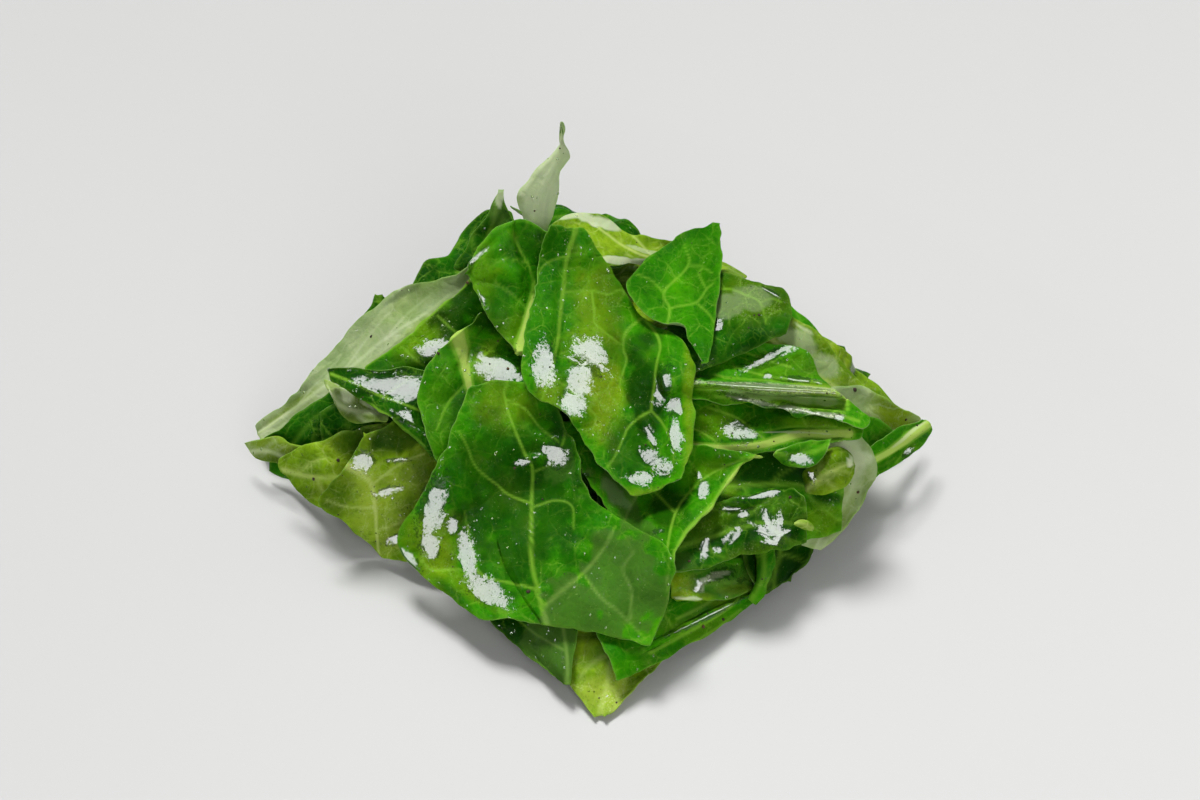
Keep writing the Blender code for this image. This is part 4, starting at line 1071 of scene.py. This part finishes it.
def beside(flat, line):
    """Distance of each drawn place from a line, and the share of the line that its nearest point is at."""
    start, step = line[:-1], np.diff(line, axis=0)
    away = flat[..., None, :] - start
    share = np.clip((away * step).sum(axis=-1) / (step ** 2).sum(axis=-1), 0, 1)
    apart = np.linalg.norm(away - share[..., None] * step, axis=-1)
    nearest = apart.argmin(axis=-1)[..., None]
    along = (nearest + np.take_along_axis(share, nearest, -1))[..., 0] / len(start)
    return np.take_along_axis(apart, nearest, -1)[..., 0], along


@dataclass
class Surface:
    """What a leaf's surface shows at each point of its grid."""
    vein: np.ndarray        # 0 on the blade, 1 on a vein, up to 2 on a thick pale rib
    ridge: np.ndarray       # how far a vein stands out, in millimetres
    quilt: np.ndarray       # 0 on a vein, rising to 1 between veins
    olive: np.ndarray       # shares of the four kinds of spots
    # deep is partly painted shade, pale is partly painted highlights and painted light
    deep: np.ndarray
    film: np.ndarray
    pale: np.ndarray
    shine: np.ndarray       # 1 in the middle of a wet place, 0 past its edge


def surface(piece, flat, spacing):
    """The veins and spots of a drawn piece."""
    bare = np.zeros(flat.shape[:2])
    vein, ridge, nearest = bare, bare, bare + np.inf
    for start, end, raised, points in VEINS.get(piece.name) or grown_veins(piece):
        apart, along = beside(flat, rail(points, np.linspace(0, 1, 8 * len(points))))
        width = start + (end - start) * along
        half = np.maximum(width / 2, 0.8 * spacing)     # wide enough for the grid to show it
        flat_top, round_top = np.exp(-(apart / half) ** 4 * 0.7), np.exp(-(apart / half) ** 2)
        # Fainter where it had to be widened, and up to 2 on a thick rib
        strong = np.minimum(1, 0.3 + 0.6 * width / half / 2) + np.clip((width - 1.3) / 0.6, 0, 1)
        vein = np.maximum(vein, np.where(width > RIB_WIDTH, flat_top, round_top) * strong)
        # It stands out less if it is thin, and less towards its end
        body = np.exp(-1.2 * (apart / np.maximum(half, 1.6 * spacing)) ** 2)
        ridge = np.maximum(ridge, body * raised * min(1.0, (start / 1.4) ** 2) * (1 - 0.8 * along))
        nearest = np.minimum(nearest, apart + 0.8 * (1 - np.minimum(1, width)))
    quilt = 1 - np.exp(-(nearest / QUILT_REACH) ** 2)
    ragged = noises(flat, (0.35, 4, 7), (0.2, 1.6, 8))
    spots = {kind: bare for kind in SOFT_EDGE}
    for kind, rows in SPOTS.get(piece.name, {}).items():
        soft = SOFT_EDGE[kind]
        for strength, *spot in rows:
            inside = np.clip((1 + soft / 2 - (out_of_spot(flat, *spot) + ragged)) / soft, 0, 1)
            spots[kind] = np.maximum(spots[kind], strength * inside)
    shine = bare
    for glint in GLINTS.get(piece.name, []):
        shine = np.maximum(shine, np.clip(1 - out_of_spot(flat, *glint) / 1.8, 0, 1))
    if piece.sight != FRONT:
        shine = np.clip(noises(flat, (0.8, 7, seed_of(piece.name))), 0, 1)
    return Surface(vein, ridge, quilt, **spots, shine=shine)


def out_of_spot(flat, x, y, reach_x, reach_y, turn=0):
    """How far out of an oval spot each drawn place is, as a share of the spot's reach."""
    c, s = math.cos(math.radians(turn)), math.sin(math.radians(turn))
    away = flat - (x, y)
    along, up = away[..., 0] * c + away[..., 1] * s, away[..., 1] * c - away[..., 0] * s
    return np.hypot(along / reach_x, up / reach_y)


def mirror_slopes(sight, spot, depth, lamp):
    """Slopes of the drawing's depth at which a spot mirrors a lamp to the eye."""
    ray = sight.rays(spot)
    to_lamp = lamp - (sight.eye + ray * depth)
    half = to_lamp / np.linalg.norm(to_lamp) - ray / np.linalg.norm(ray)
    return -depth / EYE_DISTANCE / (half @ ray) * np.array([half @ sight.right, half @ sight.up])


def turned(piece, sight, flat, depth):
    """The depths with each glint's place evened, and turned to the lamp that it is nearest to mirroring."""
    lamps = [np.array(bearing(*spot)) * SOFTBOX_DISTANCE for spot in SOFTBOXES.values()]
    for glint in GLINTS.get(piece.name, []):
        spot = np.array(glint[:2], float)
        weight = np.exp(-(out_of_spot(flat, *glint) / 1.6) ** 4)
        terms = np.dstack([flat - spot, np.ones(weight.shape)])
        root = np.sqrt(weight).ravel()
        fit = np.linalg.lstsq(terms.reshape(-1, 3) * root[:, None], depth.ravel() * root, rcond=None)[0]
        turns = [mirror_slopes(sight, spot, fit[2], lamp) - fit[:2] for lamp in lamps]
        turn = min(turns, key=np.linalg.norm)
        turn = turn * min(1.0, SHINE_TURN / np.linalg.norm(turn))
        hinge = 0.7 * np.abs(turn).max() * max(glint[2:4])
        depth = depth + weight * (terms[..., :2] @ turn - hinge - 0.9 * (depth - terms @ fit))
    return depth


def cut(uncut, name):
    """The drawn grid with its corners rounded and its edges a little uneven."""
    flat = uncut
    for i, j in ((0, 0), (-1, 0), (-1, -1), (0, -1)):
        corner = uncut[i, j]
        ends = [uncut[-1 - i, j], uncut[i, -1 - j]]
        reach = min(CORNER_ROUND, 0.4 * min(np.linalg.norm(end - corner) for end in ends))
        near = [uncut[(2, -3)[i], j], uncut[i, (2, -3)[j]]]
        inward = sum((point - corner) / np.linalg.norm(point - corner) for point in near)
        apart = np.linalg.norm(uncut - corner, axis=-1)
        pull = 0.29 * reach * np.clip(1 - apart / (1.6 * reach), 0, 1) ** 2
        flat = flat + pull[..., None] * inward
    seed = seed_of(name)
    uneven = np.dstack([noises(uncut, (1, 4, seed + k), (0.4, 1.8, seed + k + 2)) for k in (0, 1)])
    return flat + UNEVEN * uneven * np.exp(-rim_distance(uncut) / 2.0)[..., None]


def facing(points, towards):
    """Unit normals of a grid of points, on the side that towards points to, and 1 or -1 for its turn."""
    cross = np.cross(np.gradient(points, axis=0), np.gradient(points, axis=1))
    turn = np.sign((cross @ towards).sum())
    return turn * cross / np.maximum(np.linalg.norm(cross, axis=-1, keepdims=True), 1e-9), turn


def rim_distance(points):
    """About how far each point of a grid is from the grid's edge."""
    steps = [np.linalg.norm(np.diff(points, axis=axis), axis=-1) for axis in (0, 1)]
    down = np.concatenate([np.zeros((1, points.shape[1])), np.cumsum(steps[0], axis=0)])
    across = np.concatenate([np.zeros((points.shape[0], 1)), np.cumsum(steps[1], axis=1)], axis=1)
    return np.minimum(np.minimum(down, down[-1:] - down), np.minimum(across, across[:, -1:] - across))


class Leaf:
    """A fine leaf: the two faces of its sheet as grids of points, and what they show."""

    def __init__(self, name, flat, points, towards, shows, sight=None):
        self.name, self.flat, self.shows, self.sight = name, flat, shows, sight
        self.seed = seed_of(name)
        self.underside = SLOTS[name] == "leaf_pale"
        self.rim = rim_distance(points)
        normal, self.turn = facing(points, towards)
        seed = self.seed
        crumple = noises(flat, (0.5, 11, seed), (0.32, 5.5, seed + 1), (0.07, 2.5, seed + 2))
        curl = noises(flat, (0.9, 10, seed + 3)) * np.exp(-self.rim / 3)
        pucker = (PALE_PUCKER if self.underside else PUCKER) * shows.quilt
        calm = 1 - 0.85 * np.clip(2 * shows.shine, 0, 1)
        middle = points + normal * ((crumple + pucker) * calm + curl)[..., None]
        thick = SHEET_RIM + (SHEET - SHEET_RIM) * np.clip(self.rim / 1.5, 0, 1)
        self.front = middle + normal * (thick / 2 + 0.7 * shows.ridge)[..., None]
        self.back = middle - normal * (thick / 2 + 0.3 * shows.ridge)[..., None]
        self.front[..., 2] = np.maximum(self.front[..., 2], SHEET_RIM)
        self.back[..., 2] = np.maximum(self.back[..., 2], 0.0)

    def excess(self, sight):
        """How far each point of the grid is behind what lies below."""
        most = np.zeros(self.rim.shape)
        for face in (self.front, self.back):
            seen, far = sight.drawn(face)
            most = np.maximum(most, far - sight.nearest(seen) + FINE_CLEAR)
        return most

    def stamp(self, sights):
        for face in (self.front, self.back):
            middle = (face[:-1, :-1] + face[1:, :-1] + face[:-1, 1:] + face[1:, 1:]) / 4
            for points in (face, middle):
                for sight in sights.values():
                    sight.stamp(points)


def widened(push):
    """The push carried on to the places round about, and evened out."""
    for _ in range(3):
        wide = np.pad(push, 1, mode="edge")
        push = np.max([wide[a:a + push.shape[0], b:b + push.shape[1]]
                       for a in range(3) for b in range(3)], axis=0)
    for _ in range(3):
        push = smoothed(push)
    return push


def fine_leaf(blade, sights):
    """The fine leaf that stands for a solid blade, clear of the fine leaves below it."""
    piece = blade.piece
    if piece is None:
        fine = 5
        grid = refined(blade.points.reshape(blade.cells[0] + 1, blade.cells[1] + 1, 3), fine)
        shows = Surface(*[np.zeros(grid.shape[:2])] * 8)
        return Leaf(blade.name, grid[..., :2], grid, UP, shows)
    sight = sights[piece.sight]
    spacing = VEINED_SPACING if piece.name in VEINS else SPACING
    fine = max(2, round(piece.length() / piece.cells[1] / spacing))
    flat = cut(drawing(piece, *piece.cells, fine)[0], piece.name)
    depth = turned(piece, sight, flat, refined(blade.depth, fine))
    shows = surface(piece, flat, spacing)
    for _ in range(FINE_TRIES):
        leaf = Leaf(piece.name, flat, sight.place(flat, depth), -sight.ahead, shows, sight)
        excess = leaf.excess(sight)
        if excess.max() < FINE_TOUCH:
            break
        depth = depth - widened(excess)
    return leaf


def placed(name, data):
    """A new object in the scene."""
    made = bpy.data.objects.new(name, data)
    bpy.context.scene.collection.objects.link(made)
    return made


def smooth_mesh(name, points, faces):
    mesh = bpy.data.meshes.new(name)
    mesh.from_pydata((points * MM).tolist(), [], faces)
    mesh.shade_smooth()
    return mesh


def write_attribute(mesh, name, *columns):
    """One value or three for each point of the mesh."""
    kind, field = ("FLOAT_VECTOR", "vector") if len(columns) == 3 else ("FLOAT", "value")
    made = mesh.attributes.new(name, kind, "POINT")
    made.data.foreach_set(field, np.column_stack(columns).astype(np.float32).ravel())


def leaf_object(leaf, shift):
    """The leaf as a closed mesh: its two faces, and a rounded rim between them."""
    under = leaf.rim.size
    number = np.arange(under).reshape(leaf.rim.shape)
    loop = np.concatenate([number[0, :-1], number[:-1, -1], number[-1, :0:-1], number[:0:-1, 0]])
    quads = [number[:-1, :-1], number[1:, :-1], number[1:, 1:], number[:-1, 1:]]
    quads = np.stack(quads, -1).reshape(-1, 4)
    ring = 2 * under + np.arange(len(loop))
    onward, ring_onward = np.roll(loop, -1), np.roll(ring, -1)
    faces = np.concatenate([
        quads,
        quads[:, ::-1] + under,
        np.column_stack([loop, onward, ring_onward, ring]),
        np.column_stack([ring, ring_onward, onward + under, loop + under]),
    ])
    if leaf.turn < 0:
        faces = faces[:, ::-1]
    front, back = leaf.front.reshape(-1, 3), leaf.back.reshape(-1, 3)
    between = (front + back)[loop] / 2
    inner = (leaf.front + leaf.back)[1:-1, 1:-1].reshape(-1, 3).mean(axis=0) / 2
    outward = between - inner
    outward /= np.linalg.norm(outward, axis=1, keepdims=True)
    points = np.concatenate([front, back, between + outward * SHEET_RIM * RIM_BULGE]) - shift
    mesh = smooth_mesh(leaf.name, points, faces.tolist())
    shows = leaf.shows
    edge = np.exp(-leaf.rim / EDGE_FADE)
    phase = np.full(leaf.rim.shape, 31.7 * (leaf.seed % 97))     # so that no two leaves have one pattern
    for name, parts in {"leaf_mm": (leaf.flat[..., 0], leaf.flat[..., 1], phase),
                        "marks": (shows.vein, edge, shows.film),
                        # Olive, deep and pale shares: deep is partly painted shade, pale is partly painted
                        # highlights and painted light
                        "tints": (shows.olive, shows.deep, shows.pale),
                        "shine": (shows.shine,)}.items():
        grids = [part.ravel() for part in parts]
        write_attribute(mesh, name, *[np.concatenate([grid, grid, grid[loop]]) for grid in grids])
    below = np.concatenate([np.zeros(under), np.ones(under), np.full(len(loop), 0.5)])
    write_attribute(mesh, "underside", 1 - below if leaf.underside else below)
    return placed(f"fine_{leaf.name}", mesh)


class Paint:
    """A material with one Principled shader, and short calls for the nodes before it."""

    def __init__(self, name):
        self.material = bpy.data.materials.new(name)
        self.material.use_nodes = True
        self.tree = self.material.node_tree
        self.shader = self.tree.nodes["Principled BSDF"]

    def node(self, kind, inputs, output=0, **settings):
        made = self.tree.nodes.new(kind)
        for key, value in settings.items():
            setattr(made, key, value)
        self.feed(made, inputs)
        return made.outputs[output]

    def feed(self, made, inputs):
        for key, value in inputs.items():
            if isinstance(value, bpy.types.NodeSocket):
                self.tree.links.new(value, made.inputs[key])
            else:
                made.inputs[key].default_value = value

    def place(self):
        """Places on the heap, in metres."""
        return self.node("ShaderNodeTexCoord", {}, "Object")

    def attribute(self, name, output="Fac"):
        return self.node("ShaderNodeAttribute", {}, output, attribute_name=name)

    def three(self, name):
        """The three values of an attribute."""
        return self.node("ShaderNodeSeparateXYZ", {0: self.attribute(name, "Vector")}).node.outputs

    def vector(self, operation, a, b):
        return self.node("ShaderNodeVectorMath", {0: a, 1: b}, operation=operation)

    def math(self, operation, a, b, clamp=False):
        return self.node("ShaderNodeMath", {0: a, 1: b}, operation=operation, use_clamp=clamp)

    def times(self, a, b):
        return self.math("MULTIPLY", a, b)

    def rise(self, value, low, high, start=0.0, end=1.0):
        """Runs smoothly from start to end while the value goes from low to high."""
        inputs = {"Value": value, "From Min": low, "From Max": high, "To Min": start, "To Max": end}
        return self.node("ShaderNodeMapRange", inputs, interpolation_type="SMOOTHSTEP")

    def noise(self, place, scale, detail=2.0, rough=0.5):
        inputs = {"Vector": place, "Scale": scale, "Detail": detail, "Roughness": rough}
        return self.node("ShaderNodeTexNoise", inputs)

    def cells(self, place, scale, feature="DISTANCE_TO_EDGE"):
        inputs = {"Vector": place, "Scale": scale}
        return self.node("ShaderNodeTexVoronoi", inputs, "Distance", feature=feature)

    def layers(self, colour, *rows):
        """A colour with others laid over it in turn, each with its share."""
        for share, tone in rows:
            colour = self.node("ShaderNodeMix", {0: share, 6: colour, 7: tone}, 2, data_type="RGBA")
        return colour

    def relief(self, *rows):
        """Normals for patterns that stand out, each with its height in millimetres."""
        inputs = {"Strength": 1.0}
        for pattern, height in rows:
            inputs.update({"Height": pattern, "Distance": height * MM})
            inputs["Normal"] = self.node("ShaderNodeBump", inputs)
        return inputs["Normal"]


def leaf_paint(name, deep, light, olive, vein=VEIN, froth=0.15, glow=0.15):
    """Wet leaf: greens with olive, deep and pale spots, veins of three sizes, froth, film and specks."""
    paint = Paint(name)
    drawn = paint.attribute("leaf_mm", "Vector")
    where = paint.vector("MULTIPLY", paint.place(), (1 / MM, 1 / MM, 1 / MM))
    main_vein, edge, film = paint.three("marks")
    olive_spot, deep_and_shade_spot, pale_and_painted_light_spot = paint.three("tints")
    shine, under = paint.attribute("shine"), paint.attribute("underside")
    wander = paint.noise(drawn, 0.25).node.outputs["Color"]
    bent = paint.vector("ADD", drawn, paint.vector("MULTIPLY", wander, (3.0, 3.0, 0.0)))
    net, fine_net = paint.cells(bent, 0.15), paint.cells(bent, 0.5)
    cloud, patchy = paint.noise(drawn, 0.11, 4.0, 0.6), paint.noise(drawn, 0.3, 3.0, 0.6)
    grain, mottle = paint.noise(where, 1.3, 3.0, 0.6), paint.noise(where, 0.9, 5.0, 0.7)

    def lines(pattern, width, least, most):
        """The lines of a pattern, stronger in some patches than in others."""
        line = paint.rise(pattern, 0.0, width, 1.0, 0.0)
        return paint.times(line, paint.rise(patchy, 0.35, 0.7, least, most))

    def swing(height, *noise):
        """Noise to both sides of zero."""
        return paint.times(paint.math("SUBTRACT", paint.noise(where, *noise), 0.5), height)

    # Colour of the upper side and of the underside
    olive_share = paint.math("ADD", olive_spot, paint.rise(cloud, 0.6, 0.8, 0.0, 0.4), clamp=True)
    upper = paint.layers(deep, (paint.rise(cloud, 0.38, 0.68), light), (olive_share, olive),
                         (paint.rise(grain, 0.4, 0.8, 0.0, 0.3), light))
    lower = paint.layers(PALE, (paint.rise(cloud, 0.35, 0.8, 0.0, 0.6), light), (olive_spot, olive))
    # Where the coat of oil is thick, broken up at its edges and by pores, and in beads of its own
    torn = paint.math("ADD", swing(2.0, 0.5, 7.0, 0.8), swing(1.3, 1.7, 4.0, 0.7))
    puddle = paint.rise(paint.math("ADD", shine, torn), 0.42, 0.48)
    pores = paint.rise(paint.noise(where, 2.6), 0.66, 0.70, 1.0, 0.1)
    beads = paint.rise(paint.noise(where, 1.1), 0.70, 0.73)
    wet = paint.math("MAXIMUM", paint.times(puddle, pores), beads)
    # What both sides show, from the blade up
    marbled = paint.rise(mottle, 0.5, 0.75, 0.0, 0.45)
    bubbles = paint.rise(paint.cells(where, 1.6, "F1"), 0.2, 0.5, froth, 0.0)
    specks = paint.rise(paint.noise(where, 1.6, 4.0, 0.7), 0.62, 0.68, 0.0, 0.5)
    colour = paint.layers(
        upper,
        (under, lower),
        (paint.times(marbled, paint.rise(under, 0.0, 1.0, 1.0, 0.35)), DEEPEST),
        (lines(fine_net, 0.14, 0.02, 0.16), vein),
        (lines(net, 0.05, 0.05, 0.32), vein),
        # Deep spots: darker parts of the leaf, and painted shade where it lies in shadow
        (paint.times(deep_and_shade_spot, 0.85), DEEPEST),
        (paint.rise(main_vein, 0.0, 1.0, 0.0, 0.65), vein),
        (paint.rise(main_vein, 1.1, 1.9, 0.0, 0.85), STEM),
        (paint.times(olive_spot, paint.times(bubbles, paint.rise(patchy, 0.4, 0.6))), FROTH),
        (paint.times(film, 0.72), FILM),
        (paint.times(main_vein, paint.times(film, 0.4)), FILM_VEIN),
        (paint.times(specks, paint.rise(patchy, 0.42, 0.62)), SPECK),
        # Pale spots: the leaf's own pale places, and painted highlights and painted light on faces the
        # lamps leave dark
        (pale_and_painted_light_spot, PALE_AND_PAINTED_LIGHT),
        (paint.times(edge, 0.2), EDGE),
        (paint.times(wet, paint.rise(under, 0.0, 1.0, 0.6, 0.15)), DEEPEST),
    )
    paint.feed(paint.shader, {
        "Base Color": colour,
        "Roughness": paint.rise(grain, 0.3, 0.8, 0.42, 0.6),
        "Specular IOR Level": 0.010,
        "Normal": paint.relief((paint.rise(net, 0.0, 0.2), 0.10), (paint.rise(fine_net, 0.0, 0.3), 0.03),
                               (grain, 0.08)),
        "Coat Weight": paint.rise(wet, 0.0, 1.0, 0.004, 1.0),
        "Coat Roughness": 0.04,
        "Coat IOR": 1.47,
        "Coat Normal": paint.relief((paint.rise(net, 0.0, 0.15), 0.05),
                                    (paint.noise(where, 0.8, 4.0, 0.6), 0.05)),
        "Subsurface Weight": glow,
        "Subsurface Radius": (0.35, 1.0, 0.1) if glow < 0.3 else (0.8, 1.0, 0.5),
        "Subsurface Scale": 0.8 * MM,
    })
    return paint.material


def open_places(drawn, count, draw):
    """Seeded places on the outside of the heap: a point, the leaf's normal there and the leaf."""
    picked = []
    sizes = [leaf.rim.size for leaf in drawn]
    while len(picked) < count:
        leaf = draw.choices(drawn, sizes)[0]
        rows, columns = leaf.rim.shape
        i, j = draw.randrange(1, rows - 1), draw.randrange(1, columns - 1)
        seen, depth = leaf.sight.drawn(leaf.front[i, j])
        wet_chance = DRY_CHANCE + 2 * leaf.shows.shine[i, j]
        if depth < leaf.sight.near[leaf.sight.cells(seen)] + OUTSIDE and draw.random() < wet_chance:
            picked.append(leaf_place(leaf, i, j))
    return picked


def leaf_place(leaf, i, j):
    """A point of a leaf's front, the leaf's normal there and the leaf."""
    corners = leaf.front[i - 1, j], leaf.front[i + 1, j], leaf.front[i, j - 1], leaf.front[i, j + 1]
    normal = np.cross(corners[1] - corners[0], corners[3] - corners[2]) * leaf.turn
    return leaf.front[i, j], normal / np.linalg.norm(normal), leaf


def scattered(name, lumps, material, tones, shift):
    """One mesh of many small closed lumps, each given by its points and faces."""
    points, faces, tone = [], [], []
    for (lump, sides), shade in zip(lumps, tones):
        faces += [[corner + len(points) for corner in side] for side in sides]
        points += list(lump - shift)
        tone += [shade] * len(lump)
    mesh = smooth_mesh(name, np.array(points), faces)
    write_attribute(mesh, "tone", tone)
    mesh.materials.append(material)
    made = placed(name, mesh)
    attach(made, "root")


def axes(normal, turn):
    """Two unit directions across a normal."""
    side = np.cross(normal, [math.cos(turn), math.sin(turn), 0.3])
    side /= np.linalg.norm(side)
    return side, np.cross(normal, side)


def drop_lump(point, normal, radius, draw):
    """A flattened drop, round but for a stretch to one side."""
    sides, rings = 10, (1.0, 0.86, 0.5)
    across, along = axes(normal, draw.uniform(0, math.tau))
    stretch = draw.uniform(1.0, 1.6)
    points = []
    for ring in rings:
        height = 0.42 * math.sqrt(1 - ring ** 2) - 0.12
        for k in range(sides):
            turn = math.tau * k / sides
            out = across * math.cos(turn) * stretch + along * math.sin(turn)
            points.append(point + radius * (out * ring + normal * height))
    points.append(point + radius * normal * 0.30)
    faces = [list(range(sides))[::-1]]
    for ring in range(len(rings) - 1):
        for k in range(sides):
            a, b = ring * sides + k, ring * sides + (k + 1) % sides
            faces.append([a, b, b + sides, a + sides])
    top = len(rings) * sides
    faces += [[top - sides + k, top - sides + (k + 1) % sides, top] for k in range(sides)]
    return np.array(points), faces


def grain_lump(point, normal, radius, draw):
    """An angular grain, sunk a little into what it lies on."""
    across, along = axes(normal, draw.uniform(0, math.tau))
    sides = 6
    points = [point - normal * radius * 0.5]
    for height, reach in ((-0.25, 0.85), (0.35, 0.75)):
        for k in range(sides):
            turn = math.tau * (k + draw.uniform(-0.25, 0.25)) / sides
            out = (across * math.cos(turn) + along * math.sin(turn)) * reach * draw.uniform(0.75, 1.2)
            points.append(point + radius * (out + normal * height * draw.uniform(0.8, 1.2)))
    points.append(point + normal * radius * draw.uniform(0.5, 0.7))
    faces = []
    for k in range(sides):
        onward = (k + 1) % sides
        faces.append([0, 1 + onward, 1 + k])
        faces.append([1 + k, 1 + onward, 1 + sides + onward, 1 + sides + k])
        faces.append([1 + sides + k, 1 + sides + onward, 1 + 2 * sides])
    return np.array(points), faces


def drops(drawn, shift):
    """Beads of oil and juice on the leaves."""
    draw = random.Random("drops")
    places = open_places(drawn, DROPS, draw)
    lumps = [drop_lump(point, normal, draw.triangular(*DROP_RADIUS), draw) for point, normal, _ in places]
    tones = [DROP_TONES[SLOTS[leaf.name]] for _, _, leaf in places]
    paint = Paint("oil_beads")
    cloud = paint.rise(paint.noise(paint.place(), 400.0), 0.35, 0.65, 0.0, 0.5)
    colour = paint.layers((0.012, 0.10, 0.002, 1.0), (paint.attribute("tone"), (0.22, 0.33, 0.03, 1.0)),
                          (cloud, (0.06, 0.2, 0.004, 1.0)))
    paint.feed(paint.shader, {"Base Color": colour, "Roughness": 0.08, "Coat Weight": 1.0,
                              "Coat Roughness": 0.02})
    scattered("oil_drops", lumps, paint.material, tones, shift)


def place_at(drawn, spot):
    """The top leaf's point at a place in the front drawing, with its normal there."""
    for leaf in reversed(drawn):
        apart = np.linalg.norm(leaf.flat - spot, axis=-1)[1:-1, 1:-1]
        if apart.min() < SPACING:
            i, j = np.unravel_index(apart.argmin(), apart.shape)
            return leaf_place(leaf, i + 1, j + 1)
    raise ValueError(f"no leaf at {spot}")


def pepper(drawn, shift):
    """Coarse ground pepper, dark with a few pale grains."""
    draw = random.Random("pepper")
    places = open_places(drawn, GRAINS, draw)
    in_front = [leaf for leaf in drawn if leaf.sight.side == FRONT]
    places += [place_at(in_front, spot) for spot in PEPPER]
    sizes = [draw.triangular(*GRAIN_RADIUS) for _ in range(GRAINS)]
    sizes += [draw.uniform(*LARGE_GRAIN_RADIUS) for _ in PEPPER]
    lumps = [grain_lump(point, normal, size, draw) for (point, normal, _), size in zip(places, sizes)]
    tones = [draw.random() ** 3 for _ in places]
    paint = Paint("ground_pepper")
    rough = paint.noise(paint.place(), 2500.0, 3.0)
    colour = paint.layers((0.014, 0.007, 0.003, 1.0), (paint.attribute("tone"), (0.18, 0.10, 0.03, 1.0)),
                          (rough, (0.05, 0.03, 0.015, 1.0)))
    paint.feed(paint.shader, {"Base Color": colour, "Roughness": 0.55, "Specular IOR Level": 0.15,
                              "Normal": paint.relief((rough, 0.06))})
    scattered("pepper_grains", lumps, paint.material, tones, shift)


def leaves():
    """Puts a fine leaf in the place of every solid one, and returns how far the heap was moved."""
    blades = heap()
    sights = {blade.piece.sight: Sight(*blade.piece.sight, FINE_CELL) for blade in blades if blade.piece}
    corner = blades[0].face(-1).min(axis=0)
    shift = corner - np.array(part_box(blades[0].name)[0]) / MM
    paints = {slot: leaf_paint(*tones, **others) for slot, (*tones, others) in FINISHES.items()}
    drawn = []
    for blade in blades:
        leaf = fine_leaf(blade, sights)
        leaf.stamp(sights)
        if leaf.sight:
            drawn.append(leaf)
        piece = leaf_object(leaf, shift)
        piece.data.materials.append(paints[SLOTS[blade.name]])
        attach(piece, "root")
        if blade.piece not in SCRAPS:
            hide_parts(blade.name)
    drops(drawn, shift)
    pepper(drawn, shift)
    return shift


def stage_floor():
    """A plain pale floor."""
    bpy.ops.mesh.primitive_plane_add(size=8.0)
    floor = bpy.context.object
    floor.name = "floor"
    paint = Paint("pale_floor")
    cloud = paint.noise(paint.place(), 3.0)
    colour = paint.layers((0.54, 0.54, 0.53, 1.0), (cloud, (0.59, 0.59, 0.58, 1.0)))
    paint.feed(paint.shader, {"Base Color": colour, "Roughness": 0.6})
    floor.data.materials.append(paint.material)


def lamp(name, kind, azimuth, elevation, distance, **settings):
    """A lamp that faces the heap."""
    data = bpy.data.lights.new(name, kind)
    for key, value in settings.items():
        setattr(data, key, value)
    made = placed(name, data)
    made.location = bearing(azimuth, elevation) * distance
    made.rotation_euler = bearing(azimuth, elevation).to_track_quat("Z", "Y").to_euler()
    return made


def lights():
    """Broad soft light from the back, a weaker one from the front, and lamps that only gloss mirrors."""
    world = bpy.data.worlds.new("studio")
    bpy.context.scene.world = world
    world.use_nodes = True
    sky = world.node_tree.nodes["Background"].inputs
    sky["Color"].default_value = SKY
    sky["Strength"].default_value = SKY_STRENGTH
    for name, (azimuth, elevation, strength, width) in SUNS.items():
        sun = lamp(name, "SUN", azimuth, elevation, 2.0, energy=strength, angle=math.radians(width))
        sun.visible_glossy = False
    for name, (azimuth, elevation) in SOFTBOXES.items():
        box = lamp(name, "AREA", azimuth, elevation, SOFTBOX_DISTANCE * MM, shape="SQUARE", size=0.5,
                   energy=11)
        box.visible_diffuse = False
    bpy.context.scene.view_settings.view_transform = "Standard"


def camera(shift):
    """The camera stands where the front drawing is seen from."""
    data = bpy.data.cameras.new("camera")
    data.sensor_width, data.lens = SENSOR, LENS
    made = placed("camera", data)
    target = Vector((0.0, 0.0, EYE_LEVEL)) - Vector(shift)
    made.location = (target + bearing(*FRONT) * EYE_DISTANCE) * MM
    made.rotation_euler = bearing(*FRONT).to_track_quat("Z", "Y").to_euler()
    bpy.context.scene.camera = made


camera(leaves())
stage_floor()
lights()
